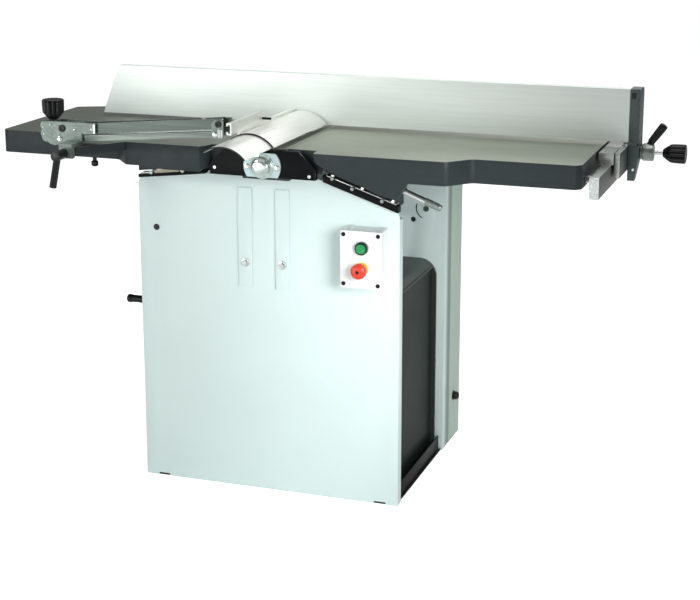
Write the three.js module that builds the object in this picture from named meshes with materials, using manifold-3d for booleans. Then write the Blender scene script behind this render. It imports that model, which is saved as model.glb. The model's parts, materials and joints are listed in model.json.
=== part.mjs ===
// Combined surface planer and thicknesser, in millimetres, +Z up.
// X runs along the tables with the infeed end at +X, Y runs from the operator's side to the back,
// and the origin is on the floor at the middle of the cabinet.
import * as THREE from "three";
import { mergeVertices } from "three/addons/utils/BufferGeometryUtils.js";
import Module from "manifold-3d";

const wasm = await Module();
wasm.setup();

// ---------------------------------------------------------------- driving dimensions
const GAP = 0.4; // between pieces that touch
const CABINET = { half: 334, front: -198, back: 197, sheet: 3, fold: 24 };
const DECK_TOP = 521; // top of the lower hood
const COVER_BACK = 362; // rear face of the drive cover
const TABLE = { top: 870, skin: 16, edge: 55, wall: 10, wide: -276, narrow: -222, back: 198 };
const INFEED_END = 757;
const OUTFEED_END = -692;
const CUTTER = { x: 18, z: 830, body: 37, cut: 40, shaft: 14, half: 187 };
const LIP = { tip: 26, root: 55.6, thick: 8, pitch: 18, slot: 6, depth: 12 };
const INFEED_SLOPE = Math.tan(THREE.MathUtils.degToRad(18.5));
const OUTFEED_SLOPE = Math.tan(THREE.MathUtils.degToRad(6.6));
const HINGE = { y: 232, z: 848, pin: 10, bore: 10.4, eye: 14 };
const ROLLER = { offset: 72, z: 808.5, r: 20, half: 186, journal: 8, bore: 8.4 };
const FINGERS = { x: -94, z: 826, rod: 5, bore: 5.3, sleeve: 8, reach: 39, count: 10 };
const PLANING_HEIGHT = 700; // top of the thickness table at rest
const MOTOR = { x: 190, z: 150, r: 78, pulley: 52 };
const PULLEY = { y0: 224, y1: 250, r: 34, rim: 4, flange: 3 };
const CRANK = { y: -48, z: 441, throw: 90, x: -352 };
const BOX = { x0: 209, x1: 309, z0: 556, z1: 692, front: -258, split: -236, wall: 3 };
const START = { x: 262, z: 652.5 };
const STOP = { x: 262, z: 603 };
const FENCE = { y: 67.5, skin: 7, rib: 24.5, bottom: 877, top: 1002, left: -561, lean: 49, right: 811.5 };
const TILT = { y: 70, z: 872, pin: 4, bore: 4.4 };
const LOCK = { y: 102, z: 850, rod: 5, bore: 5.5 };
const RAIL = { x0: 771, x1: 793, z0: 791, z1: 841 };
const LEVER = { x: 350, y: -255, z: 798, drop: 0.39 };
const ARM = { low: [-477, 878], high: [-469, 902], reach: [417, 36.5], y0: -345, y1: -317, pin: 4, bore: 4.4 };
const GUARD = { left: [-50, 895], right: [60, 881], rise: 23, skin: 3, gap: 0.8 };

// ---------------------------------------------------------------- geometry helpers
function toSolid(geometry) {
  const bare = geometry.clone();
  bare.deleteAttribute("normal");
  bare.deleteAttribute("uv");
  const merged = mergeVertices(bare, 1e-4);
  const vertProperties = merged.attributes.position.array;
  const triVerts = new Uint32Array(merged.index.array);
  return new wasm.Manifold(new wasm.Mesh({ numProp: 3, vertProperties, triVerts }));
}

function toGeometry(solid) {
  const mesh = solid.getMesh();
  const geometry = new THREE.BufferGeometry();
  const position = new THREE.BufferAttribute(new Float32Array(mesh.vertProperties), 3);
  geometry.setAttribute("position", position);
  geometry.setIndex(new THREE.BufferAttribute(new Uint32Array(mesh.triVerts), 1));
  geometry.computeVertexNormals();
  return geometry;
}

const join = (...parts) => toGeometry(parts.map(toSolid).reduce((all, next) => all.add(next)));

const cut = (body, ...tools) =>
  toGeometry(tools.map(toSolid).reduce((left, tool) => left.subtract(tool), toSolid(body)));

const common = (a, b) => toGeometry(toSolid(a).intersect(toSolid(b)));

function box(x0, x1, y0, y1, z0, z1) {
  const block = new THREE.BoxGeometry(x1 - x0, y1 - y0, z1 - z0);
  return block.translate((x0 + x1) / 2, (y0 + y1) / 2, (z0 + z1) / 2);
}

// A closed outline of [u, v, corner radius] points; a corner without a radius stays sharp.
function outline(points) {
  const shape = new THREE.Shape();
  const at = (i) => new THREE.Vector2(...points[(i + points.length) % points.length].slice(0, 2));
  points.forEach(([u, v, radius = 0], i) => {
    const corner = at(i);
    const start = corner.clone().add(at(i - 1).sub(corner).setLength(radius));
    const end = corner.clone().add(at(i + 1).sub(corner).setLength(radius));
    if (i === 0) shape.moveTo(start.x, start.y);
    else shape.lineTo(start.x, start.y);
    if (radius) shape.quadraticCurveTo(u, v, end.x, end.y);
  });
  shape.closePath();
  return shape;
}

const ALONG_X = new THREE.Matrix4().makeBasis(
  new THREE.Vector3(0, 1, 0),
  new THREE.Vector3(0, 0, 1),
  new THREE.Vector3(1, 0, 0),
);

function extrude(section, depth, curveSegments = 4) {
  const shape = Array.isArray(section) ? outline(section) : section;
  return new THREE.ExtrudeGeometry(shape, { depth, bevelEnabled: false, curveSegments });
}

// Prisms: the section lies in YZ, XZ or XY, and runs along the axis in the name.
const prismX = (section, x0, x1, arcs) =>
  extrude(section, x1 - x0, arcs).applyMatrix4(ALONG_X).translate(x0, 0, 0);
const prismY = (section, y0, y1, arcs) =>
  extrude(section, y1 - y0, arcs).rotateX(Math.PI / 2).translate(0, y1, 0);
const prismZ = (section, z0, z1, arcs) => extrude(section, z1 - z0, arcs).translate(0, 0, z0);

function rodX(y, z, r, x0, x1, sides = 24) {
  const rod = new THREE.CylinderGeometry(r, r, x1 - x0, sides).rotateZ(Math.PI / 2);
  return rod.translate((x0 + x1) / 2, y, z);
}

function rodY(x, z, r, y0, y1, sides = 24) {
  return new THREE.CylinderGeometry(r, r, y1 - y0, sides).translate(x, (y0 + y1) / 2, z);
}

function rodZ(x, y, r, z0, z1, sides = 24) {
  const rod = new THREE.CylinderGeometry(r, r, z1 - z0, sides).rotateX(Math.PI / 2);
  return rod.translate(x, y, (z0 + z1) / 2);
}

// A round bar from one point to another, with its own radius at each end.
function bar(from, to, r0, r1, sides = 16) {
  const a = new THREE.Vector3(...from);
  const b = new THREE.Vector3(...to);
  const way = b.clone().sub(a);
  const rod = new THREE.CylinderGeometry(r1, r0, way.length(), sides);
  const turn = new THREE.Quaternion().setFromUnitVectors(new THREE.Vector3(0, 1, 0), way.normalize());
  return rod.applyQuaternion(turn).translate(...a.add(b).multiplyScalar(0.5).toArray());
}

// A turned piece along +Y from y = 0: [radius, height] pairs that start and end on the axis.
function turned(profile, sides = 24) {
  return new THREE.LatheGeometry(profile.map(([r, y]) => new THREE.Vector2(r, y)), sides);
}

// ---------------------------------------------------------------- materials
function paint(color, roughness, metalness) {
  return new THREE.MeshStandardMaterial({ color, roughness, metalness });
}
const MATERIAL = {
  whitePaint: paint(0xeef1ef, 0.45, 0),
  coverPaint: paint(0xb9c4bb, 0.5, 0),
  hoodPaint: paint(0x2f3634, 0.4, 0),
  blackSteel: paint(0x1b1d1e, 0.5, 0.4),
  castIron: paint(0x3b454c, 0.55, 0.3),
  steel: paint(0xb9bdbc, 0.3, 1),
  aluminium: paint(0xd3d6d0, 0.35, 0.9),
  bracketPaint: paint(0x565d60, 0.5, 0.2),
  blackPlastic: paint(0x141414, 0.45, 0),
  greyPlastic: paint(0xe9ece8, 0.5, 0),
  green: paint(0x16a35a, 0.35, 0),
  red: paint(0xdf3a26, 0.35, 0),
  motorPaint: paint(0x4b5a66, 0.5, 0.1),
  rubber: paint(0x121212, 0.8, 0),
};

const planer = new THREE.Group();
function body(parent = planer) {
  const group = new THREE.Group();
  parent.add(group);
  return (name, geometry, material) => {
    const mesh = new THREE.Mesh(geometry, material);
    mesh.name = name;
    group.add(mesh);
  };
}

// ---------------------------------------------------------------- cabinet
const infeedLine = (x) => 793.6 - INFEED_SLOPE * (x - 142);
const outfeedLine = (x) => 791 + OUTFEED_SLOPE * (x + 153);

function panelOutline(lower = 0) {
  const { half } = CABINET;
  return [
    [-half, 0],
    [half, 0],
    [half, infeedLine(half) - lower, 16],
    [142, 793.6 - lower, 8],
    [-153, 791 - lower, 8],
    [-half, outfeedLine(-half) - lower, 14],
  ];
}

function sidePanel(y0, foldY0, foldY1) {
  const { half, sheet } = CABINET;
  const face = prismY(panelOutline(), y0, y0 + sheet);
  const leftFold = box(-half, sheet - half, foldY0, foldY1, 0, outfeedLine(-half) - 16);
  const rightFold = box(half - sheet, half, foldY0, foldY1, 0, infeedLine(half) - 18);
  const footSlots = [-286, 288].map((x) => box(x - 15, x + 15, y0 - 2, y0 + sheet + 2, -1, 6));
  return cut(join(face, leftFold, rightFold), ...footSlots);
}

function frontSidePanel() {
  const { front, sheet, fold } = CABINET;
  const panel = sidePanel(front, front + 1, front + sheet + fold);
  return cut(panel, rodY(-288, 648, 7, front - 2, front + sheet + 2, 16));
}

function rearSidePanel() {
  const { back, sheet } = CABINET;
  const panel = sidePanel(back, back + sheet - 1, 219.7);
  const boss = rodY(284, 636, 22, back - 1.5, back + 1);
  const shaftHole = rodY(MOTOR.x, MOTOR.z, 20, back - 2, back + sheet + 2);
  return cut(join(panel, boss), shaftHole, rodY(248, 621, 7, back - 2, back + sheet + 2, 16));
}

function basePan() {
  const plate = box(-330, 330, -194.6, 196.6, 0, 4);
  const ends = [-1, 1].map((s) => box(s * 322 - 2, s * 322 + 2, -194.6, 196.6, 0, 40));
  return join(plate, ...ends);
}

function lowerHood() {
  const sheet = 2.5;
  const outer = 313;
  const corner = 45;
  const inner = outer - sheet;
  const floor = 4 + GAP;
  const hoop = prismY(
    [
      [-outer, floor],
      [-outer, DECK_TOP, corner],
      [outer, DECK_TOP, corner],
      [outer, floor],
      [inner, floor],
      [inner, DECK_TOP - sheet, corner - sheet],
      [-inner, DECK_TOP - sheet, corner - sheet],
      [-inner, floor],
    ],
    -194.5,
    196.5,
    6,
  );
  const columnHole = rodZ(0, 0, 57.5, DECK_TOP - 10, DECK_TOP + 10, 32);
  const crankHole = rodX(CRANK.y, CRANK.z, 12, -outer - 5, -outer + 8);
  return cut(hoop, columnHole, crankHole);
}

function driveCover() {
  const sheet = 2.5;
  const front = 220.2;
  const { half } = CABINET;
  const inset = (half - sheet) / half;
  const outer = prismY(panelOutline(3), front, COVER_BACK);
  const inner = prismY(panelOutline(6), front - 1, COVER_BACK - sheet).scale(inset, 1, 1);
  const room = inner.translate(0, 0, sheet);
  const hump = box(-45, 81, front, 300, 760, 878);
  const humpRoom = box(-42.5, 78.5, front - 1, 297.5, 750, 875.5);
  return cut(join(outer, hump), room, humpRoom);
}

function cutterheadCover() {
  const ring = (d) => [
    [-116 + d, 803 + d],
    [148 - d, 803 + d],
    [148 - d, 829],
    [108 - d / 2, 868 - d],
    [-74 + d / 2, 868 - d],
    [-116 + d, 829],
  ];
  return cut(prismY(ring(0), -258, -241.2), prismY(ring(3), -255, -240));
}

// Bearing boss, side plate and foot at one end of the cutter block; side is -1 in front, 1 behind.
function bearingHousing(side) {
  const span = (near, far) => (side < 0 ? [-far, -near] : [near, far]);
  const { x, z } = CUTTER;
  const rollerX = [x - ROLLER.offset, x + ROLLER.offset];
  const boss = rodY(x, z, 31, ...span(199, side < 0 ? 240.8 : 222), 32);
  const plate = box(x - 124, x + 104, ...span(199, 211.5), 794.4, 846);
  const foot = box(-40, 76, ...span(side < 0 ? 192 : 190, 240.8 - (side > 0 ? 20.8 : 0)), 794.4, 812);
  const bores = rollerX.map((at) => rodY(at, ROLLER.z, ROLLER.bore, ...span(190, 215), 16));
  const shaftBore = rodY(x, z, CUTTER.shaft + GAP, ...span(180, 250));
  const fingerBore = rodY(FINGERS.x, FINGERS.z, FINGERS.bore, ...span(190, 215), 12);
  return cut(join(boss, plate, foot), shaftBore, fingerBore, ...bores);
}

function bearingCap() {
  const { x, z } = CUTTER;
  const flange = common(rodY(x, z, 46, -262.5, -258.3, 40), box(x - 50, x + 50, -270, -250, z - 38, z + 37.6));
  const dome = turned([
    [0, -0.5],
    [25, -0.5],
    [24, 5],
    [20, 12],
    [12, 17],
    [0, 19],
  ]).rotateX(Math.PI).translate(x, -262.5, z);
  const screws = [-36, 36].map((dx) => rodY(x + dx, z, 6, -267, -262, 6));
  return join(flange, dome, ...screws);
}

function accessoryRail(x0, boltX) {
  const plate = box(x0, x0 + 35, -202.4, -198.4, 517, 763);
  const washer = rodY(boltX, 579.5, 9, -204.4, -202);
  const head = rodY(boltX, 579.5, 6.5, -209.5, -204, 6);
  return join(plate, washer, head);
}

function controlBoxBase() {
  const { x0, x1, z0, z1, split, wall } = BOX;
  const shell = box(x0, x1, split + GAP, -198.4, z0, z1);
  return cut(shell, box(x0 + wall, x1 - wall, split - 5, -201.4, z0 + wall, z1 - wall));
}

function controlBoxLid() {
  const { x0, x1, z0, z1, front, split, wall } = BOX;
  const shell = box(x0, x1, front, split, z0, z1);
  const room = box(x0 + wall, x1 - wall, front + wall, split + 5, z0 + wall, z1 - wall);
  const bezel = rodY(START.x, START.z, 15, front - 10, front + 1);
  const collar = rodY(STOP.x, STOP.z, 17.5, front - 4, front + 1);
  const startBore = rodY(START.x, START.z, 12.2, front - 12, front + wall + 1);
  const stopBore = rodY(STOP.x, STOP.z, 9.3, front - 12, front + wall + 1);
  return cut(join(cut(shell, room), bezel, collar), startBore, stopBore);
}

function motor() {
  const { x, z, r } = MOTOR;
  const frame = rodY(x, z, r, -110, 110, 32);
  const fanCover = rodY(x, z, r - 4, -150, -108, 32);
  const endShield = rodY(x, z, r - 20, 108, 120, 32);
  const feet = box(x - 65, x + 65, -100, 90, 62, 84);
  const plate = box(x - 75, x + 75, -130, 110, 50, 63);
  const legs = [x - 60, x + 45].map((at) => box(at, at + 15, -130, 110, 4 + GAP, 51));
  const terminalBox = box(x - 35, x + 35, -60, 40, z + r - 6, z + r + 36);
  return join(frame, fanCover, endShield, feet, plate, terminalBox, ...legs);
}

// An open belt loop round two pulleys, by the outer tangents of their circles.
function beltShape(offset) {
  const [bigR, smallR] = [MOTOR.pulley + offset, PULLEY.r + offset];
  const dx = CUTTER.x - MOTOR.x;
  const dz = CUTTER.z - MOTOR.z;
  const way = Math.atan2(dz, dx);
  const lean = Math.acos((bigR - smallR) / Math.hypot(dx, dz));
  const shape = new THREE.Shape();
  shape.absarc(MOTOR.x, MOTOR.z, bigR, way + lean, way - lean + 2 * Math.PI, false);
  shape.absarc(CUTTER.x, CUTTER.z, smallR, way - lean, way + lean, false);
  return shape;
}

function driveBelt() {
  const { y0, y1, flange } = PULLEY;
  const loop = beltShape(GAP + 6);
  loop.holes.push(beltShape(GAP));
  return prismY(loop, y0 + flange + GAP, y1 - flange - GAP, 12);
}

function pulley(x, z, r, bore) {
  const { y0, y1, rim, flange } = PULLEY;
  const wheel = rodY(x, z, r, y0 + 1, y1 - 1, 32);
  const flanges = [y0, y1 - flange].map((y) => rodY(x, z, r + rim, y, y + flange, 32));
  return cut(join(wheel, ...flanges), rodY(x, z, bore, y0 - 1, y1 + 1));
}

function hingeShaft(x0, x1) {
  const { y, z, pin, eye } = HINGE;
  const plate = (x) => {
    const leg = [
      [200.6, 690],
      [214, 690],
      [219, 796],
      [y + 10, z - 8],
      [y - 8, z + 8],
      [200.6, 796],
    ];
    return join(prismX(leg, x, x + 8), rodX(y, z, eye - 2, x, x + 8));
  };
  return join(rodX(y, z, pin, x0, x1), plate(x0), plate(x1 - 8));
}

function liftSleeve() {
  const tube = rodZ(0, 0, 56, 15, 517, 32);
  const foot = box(-85, 85, -85, 85, 4 + GAP, 16);
  return cut(join(tube, foot), rodZ(0, 0, 45.5, 16, 530, 32));
}

const cableInlet = () => join(rodX(300, 120, 11, 334.4, 350), rodX(300, 120, 15, 334.4, 340, 6));

const cabinet = body();
cabinet("front_side_panel", frontSidePanel(), MATERIAL.whitePaint);
cabinet("rear_side_panel", rearSidePanel(), MATERIAL.whitePaint);
cabinet("base_pan", basePan(), MATERIAL.blackSteel);
cabinet("lower_hood", lowerHood(), MATERIAL.hoodPaint);
cabinet("drive_cover", driveCover(), MATERIAL.coverPaint);
cabinet("cutterhead_cover", cutterheadCover(), MATERIAL.blackSteel);
cabinet("front_bearing_housing", bearingHousing(-1), MATERIAL.castIron);
cabinet("rear_bearing_housing", bearingHousing(1), MATERIAL.castIron);
cabinet("bearing_cap", bearingCap(), MATERIAL.aluminium);
cabinet("accessory_rail_left", accessoryRail(-70, -53), MATERIAL.whitePaint);
cabinet("accessory_rail_right", accessoryRail(26, 41.5), MATERIAL.whitePaint);
cabinet("control_box_base", controlBoxBase(), MATERIAL.greyPlastic);
cabinet("control_box_lid", controlBoxLid(), MATERIAL.greyPlastic);
cabinet("motor", motor(), MATERIAL.motorPaint);
cabinet("drive_belt", driveBelt(), MATERIAL.rubber);
cabinet("lift_sleeve", liftSleeve(), MATERIAL.castIron);
cabinet("infeed_hinge_shaft", hingeShaft(136, 322), MATERIAL.steel);
cabinet("outfeed_hinge_shaft", hingeShaft(-322, -136), MATERIAL.steel);
cabinet("finger_rod", rodY(FINGERS.x, FINGERS.z, FINGERS.rod, -211, 211, 12), MATERIAL.steel);
cabinet("cable_inlet", cableInlet(), MATERIAL.blackPlastic);

// ---------------------------------------------------------------- cutter block and its drive
const KNIFE = { thick: 3, low: 26, count: 3, half: 186 };

function knifeBlank(i, thick, low, high, half) {
  const blank = box(-thick / 2, thick / 2, -half, half, low, high);
  const turn = (i * 2 * Math.PI) / KNIFE.count + 0.5;
  return blank.rotateY(turn).translate(CUTTER.x, 0, CUTTER.z);
}

function cutterBlock() {
  const { x, z, body: r, shaft, half } = CUTTER;
  const drum = join(rodY(x, z, r, -half, half, 36), rodY(x, z, shaft, -236, 258));
  const slots = [...Array(KNIFE.count).keys()].map((i) =>
    knifeBlank(i, KNIFE.thick + 2 * GAP, KNIFE.low - GAP, r + 5, half + 1),
  );
  return cut(drum, ...slots);
}

const cutter = body();
cutter("cutter_block", cutterBlock(), MATERIAL.steel);
for (let i = 0; i < KNIFE.count; i++)
  cutter(`cutter_knife_${i + 1}`, knifeBlank(i, KNIFE.thick, KNIFE.low, CUTTER.cut, KNIFE.half), MATERIAL.steel);
cutter("cutter_pulley", pulley(CUTTER.x, CUTTER.z, PULLEY.r, CUTTER.shaft + GAP), MATERIAL.castIron);

function motorPulley() {
  const wheel = pulley(MOTOR.x, MOTOR.z, MOTOR.pulley, 5);
  return join(wheel, rodY(MOTOR.x, MOTOR.z, 12, 120 + GAP, 254));
}
body()("motor_pulley", motorPulley(), MATERIAL.castIron);

// ---------------------------------------------------------------- feed rollers and fingers
function gearShape(teeth, rootR, tipR) {
  const points = [];
  for (let i = 0; i < teeth; i++)
    for (const [part, r] of [[0, rootR], [0.5, tipR]]) {
      const angle = ((i + part) * 2 * Math.PI) / teeth;
      points.push([r * Math.cos(angle), r * Math.sin(angle)]);
    }
  return points;
}

function feedRoller(x, section) {
  const { z, half, journal } = ROLLER;
  const drum = prismY(section, -half, half).translate(x, 0, z);
  return join(drum, rodY(x, z, journal, -209, 209, 16));
}

body()(
  "toothed_feed_roller",
  feedRoller(CUTTER.x - ROLLER.offset, gearShape(20, ROLLER.r - 2, ROLLER.r)),
  MATERIAL.steel,
);
const roundSection = new THREE.Shape().absarc(0, 0, ROLLER.r, 0, 2 * Math.PI, false);
body()("smooth_feed_roller", feedRoller(CUTTER.x + ROLLER.offset, roundSection), MATERIAL.steel);

function kickbackFingers() {
  const { x, z, bore, sleeve, reach, count } = FINGERS;
  const tube = rodY(x, z, sleeve, -183, 183, 16);
  const pitch = 352 / (count - 1);
  const fingers = [...Array(count).keys()].map((i) => {
    const y = -176 + i * pitch;
    const hook = [
      [x - 4, z],
      [x + 3, z],
      [x + 4, z - reach + 12],
      [x + 2, z - reach],
      [x - 3, z - reach + 10],
    ];
    return prismY(hook, y - 7, y + 7);
  });
  return cut(join(tube, ...fingers), rodY(x, z, bore, -190, 190, 12));
}
body()("anti_kickback_fingers", kickbackFingers(), MATERIAL.steel);

// ---------------------------------------------------------------- thickness table and its lift
function thicknessTable() {
  const top = PLANING_HEIGHT;
  const plate = box(-225, 225, -188, 188, top - 38, top);
  const room = box(-213, 213, -176, 176, top - 39, top - 16);
  const boss = rodZ(0, 0, 52, top - 38, top - 10, 32);
  const ribs = [-110, 110].map((x) => box(x - 4, x + 4, -180, 180, top - 34, top - 12));
  return join(cut(plate, room), boss, ...ribs);
}

function liftColumn() {
  const top = PLANING_HEIGHT - 38 - GAP;
  return cut(rodZ(0, 0, 45, 300, top, 32), rodZ(0, 0, 14.5, 299, top - 20, 20));
}

const lift = body();
lift("thickness_table", thicknessTable(), MATERIAL.castIron);
lift("lift_column", liftColumn(), MATERIAL.steel);

body()("lift_screw", join(rodZ(0, 0, 10, 16 + GAP, 490, 20), rodZ(0, 0, 24, 24, 36, 20)), MATERIAL.steel);

function heightCrank() {
  const { y, z, x } = CRANK;
  const shaft = rodX(y, z, 8, x, -62, 16);
  const bevel = bar([-78, y, z], [-62, y, z], 20, 10, 20);
  const hub = rodX(y, z, 14, x - 4, x + 12, 20);
  const arm = box(x - 2, x + 6, y - CRANK.throw, y, z - 8, z + 8);
  const boss = rodX(y - CRANK.throw, z, 9, x - 2, x + 6, 16);
  return join(shaft, bevel, hub, arm, boss);
}
const crank = body();
crank("height_crank", heightCrank(), MATERIAL.blackSteel);
crank("crank_grip", rodX(CRANK.y - CRANK.throw, CRANK.z, 10.5, -403, CRANK.x - 2 - GAP, 20), MATERIAL.blackPlastic);

// ---------------------------------------------------------------- push buttons
function pushButton({ x, z }, r, front, flange) {
  const stem = rodY(x, z, r, front, BOX.front + 12);
  return join(stem, rodY(x, z, flange, BOX.front + 5, BOX.front + 8));
}
body()("start_button", pushButton(START, 11.7, -270, 14), MATERIAL.green);

function stopButton() {
  const head = turned([
    [0, 0],
    [18.5, 0],
    [18.5, 9],
    [16, 12],
    [0, 13.5],
  ]).rotateX(Math.PI).translate(STOP.x, -279.5, STOP.z);
  return join(pushButton(STOP, 8.8, -281, 12), head);
}
body()("stop_button", stopButton(), MATERIAL.red);

// ---------------------------------------------------------------- table slideways
// Two bars that lie on the side panels' tops, a tie between them and the hinge eyes.
function slideway(line, x0, x1, tieX, thick, eyes) {
  const strip = (a, b, low, high) => [
    [a, line(a) + low],
    [b, line(b) + low],
    [b, line(b) + high],
    [a, line(a) + high],
  ];
  const bars = [
    [-212, -189.5],
    [189.5, 200],
  ].map(([y0, y1]) => prismY(strip(x0, x1, 0.6, thick), y0, y1));
  const tie = prismY(strip(tieX, tieX + 34, 1.5, thick - 1), -190, 190);
  const { y, z, eye, bore } = HINGE;
  const knuckles = eyes.map((x) => {
    const base = line(x + 10) + thick / 2;
    const arm = prismX([[188, base - 2], [199.5, base - 2], [216, 800], [y + 8, z - 6], [y - 8, z + 6], [199.6, 822], [199.6, base + 2], [188, base + 2]], x, x + 20);
    return join(arm, rodX(y, z, eye, x, x + 20));
  });
  return cut(join(...bars, tie, ...knuckles), rodX(y, z, bore, -350, 350));
}

// The steel strip under a table's front rib, with its levelling bolts.
function gib(line, x0, x1, low, boltXs, boltTop) {
  const strip = [
    [x0, line(x0) + low],
    [x1, line(x1) + low],
    [x1, line(x1) + low + 2.5],
    [x0, line(x0) + low + 2.5],
  ];
  const bolts = boltXs.map((x) => rodZ(x, -202, 5.5, line(x) + low + 1.5, line(x) + boltTop, 6));
  return join(prismY(strip, -209, -186), ...bolts);
}

// A rib whose lower edge follows the slideway.
function slideRib(line, x0, x1, low, y0, y1) {
  const top = TABLE.top - TABLE.skin + 2;
  const section = [
    [x0, line(x0) + low],
    [x1, line(x1) + low],
    [x1, top],
    [x0, top],
  ];
  return prismY(section, y0, y1);
}

// The slotted steel lip at the cutter's side of a table; side is 1 on the infeed, -1 on the outfeed.
function tableLip(side) {
  const { tip, root, thick, pitch, slot, depth } = LIP;
  const at = (offset) => CUTTER.x + side * offset;
  const points = [
    [at(root), 196],
    [at(root), -236],
    [at(tip), -236],
  ];
  for (let y = -236 + pitch / 2; y + slot < 196; y += pitch)
    points.push([at(tip), y], [at(tip + depth), y], [at(tip + depth), y + slot], [at(tip), y + slot]);
  points.push([at(tip), 196]);
  return prismZ(points, TABLE.top - thick, TABLE.top);
}

// ---------------------------------------------------------------- infeed table
const { top: TOP, wide: WIDE, narrow: NARROW, back: BACK } = TABLE;
const INFEED_BAR = 16.5;
const INFEED_RIB = 27;

function infeedTable() {
  const end = INFEED_END;
  const rim = [
    [74, BACK],
    [74, -238],
    [145, -238],
    [150, WIDE, 6],
    [464, WIDE, 10],
    [511, NARROW, 10],
    [744, NARROW, 4],
    [end, NARROW + 13, 4],
    [end, BACK, 8],
  ];
  const room = [
    [60, BACK - 10],
    [60, -228],
    [155, -228],
    [160, WIDE + 10],
    [459, WIDE + 10],
    [507, NARROW + 10],
    [740, NARROW + 10],
    [end - 10, NARROW + 17],
    [end - 10, BACK - 10],
  ];
  const plate = cut(prismZ(rim, TOP - TABLE.edge, TOP), prismZ(room, TOP - TABLE.edge - 1, TOP - TABLE.skin));
  const web = prismY(
    [
      [160, TOP - 15],
      [160, 844.5],
      [190, 830.5],
      [316, 781, 14],
      [352, 775.5, 14],
      [376, 816],
      [376, TOP - 15],
    ],
    WIDE,
    WIDE + 12,
  );
  const frontRib = slideRib(infeedLine, 156, 330, INFEED_RIB, -211, -184);
  const rearRib = slideRib(infeedLine, 156, 330, INFEED_RIB, 182, BACK);
  const crossRibs = [420, 590].map((x) => box(x - 5, x + 5, NARROW + 5, BACK - 5, TOP - 45, TOP - 15));
  const lug = box(LEVER.x - 12, LEVER.x + 12, -247, -235, LEVER.z - 12, TOP - 15);
  const pin = rodY(LEVER.x, LEVER.z, 4, -262, -246, 12);
  const coverNotch = prismY(
    [
      [140, 800],
      [231, 800],
      [231, 816],
      [190, 830.5],
      [160, 844.5],
      [151, 853],
      [140, 853],
    ],
    WIDE - 5,
    -234,
  );
  const rollerNotch = box(70, 150, 186, BACK + 5, 800, 838);
  const shell = cut(plate, coverNotch, rollerNotch);
  return join(shell, web, frontRib, rearRib, lug, pin, ...crossRibs);
}

function fenceGuideBar() {
  const { x0, x1, z0, z1 } = RAIL;
  const spacers = [-169, 186].map((y) => rodX(y, 831, 9, INFEED_END + GAP, x0 + 1));
  return join(box(x0, x1, -198, 215, z0, z1), ...spacers);
}

const infeedCarrier = body();
infeedCarrier(
  "infeed_slideway",
  slideway(infeedLine, 150, 334, 152, INFEED_BAR, [150, 292]),
  MATERIAL.blackSteel,
);
const infeed = body();
infeed("infeed_table", infeedTable(), MATERIAL.castIron);
infeed("infeed_lip", tableLip(1), MATERIAL.steel);
infeed(
  "infeed_gib",
  gib(infeedLine, 158, 328, INFEED_BAR + GAP, [170, 243, 318], INFEED_RIB - 2.2),
  MATERIAL.steel,
);
infeed("fence_guide_bar", fenceGuideBar(), MATERIAL.steel);

function depthLever() {
  const { x, y, z, drop } = LEVER;
  const along = (t) => [x + t, y, z - drop * t];
  const eye = rodY(x, z, 9, y - 6.5, y + 6.5, 20);
  const rod = bar(along(2), along(64), 5.5, 5.5);
  const grip = bar(along(63), along(100), 7, 7, 20);
  return cut(join(eye, rod, grip), rodY(x, z, 4.4, y - 10, y + 10, 12));
}
body()("depth_lever", depthLever(), MATERIAL.steel);

// ---------------------------------------------------------------- fence
function fenceCarriage() {
  const saddle = box(762, 797, -41, 128, RAIL.z1 + GAP, 868);
  const cheek = box(799, 811, -38, 128, 810, 868);
  const ear = box(799, 811, 56, 84, 860, 873);
  const bridge = box(790, 802, 24, 128, 846, 866);
  const hole = rodX(LOCK.y, LOCK.z, LOCK.bore, 797.2, 815);
  return join(cut(join(saddle, cheek, ear, bridge), hole), rodX(TILT.y, TILT.z, TILT.pin, 800, 832, 16));
}

function fencePlate() {
  const { y, skin, rib, bottom, top, left, lean, right } = FENCE;
  const section = [
    [y, bottom],
    [y + 3, bottom],
    [y + skin, bottom + 4],
    [y + skin, 903],
    [y + rib, 903],
    [y + rib, 907],
    [y + skin, 907],
    [y + skin, top - 5],
    [y + rib, top - 5],
    [y + rib, top],
    [y, top],
  ];
  const profile = prismX(section, left, right);
  const slant = [
    [left - 20, bottom - 5],
    [left - 2, bottom - 5],
    [left + lean, top + 2],
    [left - 20, top + 2],
  ];
  return cut(profile, prismY(slant, y - 5, y + rib + 5));
}

function arcSlot() {
  const reach = Math.hypot(LOCK.y - TILT.y, LOCK.z - TILT.z);
  const start = Math.atan2(LOCK.z - TILT.z, LOCK.y - TILT.y);
  const [from, to] = [start - 0.17, start + Math.PI / 4 + 0.17];
  const shape = new THREE.Shape();
  shape.absarc(TILT.y, TILT.z, reach + 5.8, from, to, false);
  shape.absarc(TILT.y, TILT.z, reach - 5.8, to, from, true);
  return shape;
}

function fenceEndBracket() {
  const x0 = FENCE.right + GAP;
  const casting = prismX(
    [
      [67.5, 785],
      [90, 785, 5],
      [125, 838, 10],
      [125, 1003, 14],
      [67.5, 1003, 3],
    ],
    x0,
    836,
  );
  const taper = prismY(
    [
      [828, 780],
      [840, 780],
      [840, 846],
      [836, 846],
    ],
    60,
    130,
  );
  const recess = box(816, 826, 66, 76, 980, 994);
  const slot = prismX(arcSlot(), x0 - 2, 840, 8);
  return cut(casting, taper, recess, slot, rodX(TILT.y, TILT.z, TILT.bore, 800, 840, 16));
}

function fenceLockLever() {
  const { y, z, bore } = LOCK;
  const hub = join(rodX(y, z, 18, 836.5, 842), rodX(y, z, 21, 841, 867));
  const grip = bar([854, y, z + 16], [889, y, z + 65], 7.5, 10, 16);
  return cut(join(hub, grip), rodX(y, z, bore, 830, 870));
}

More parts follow.
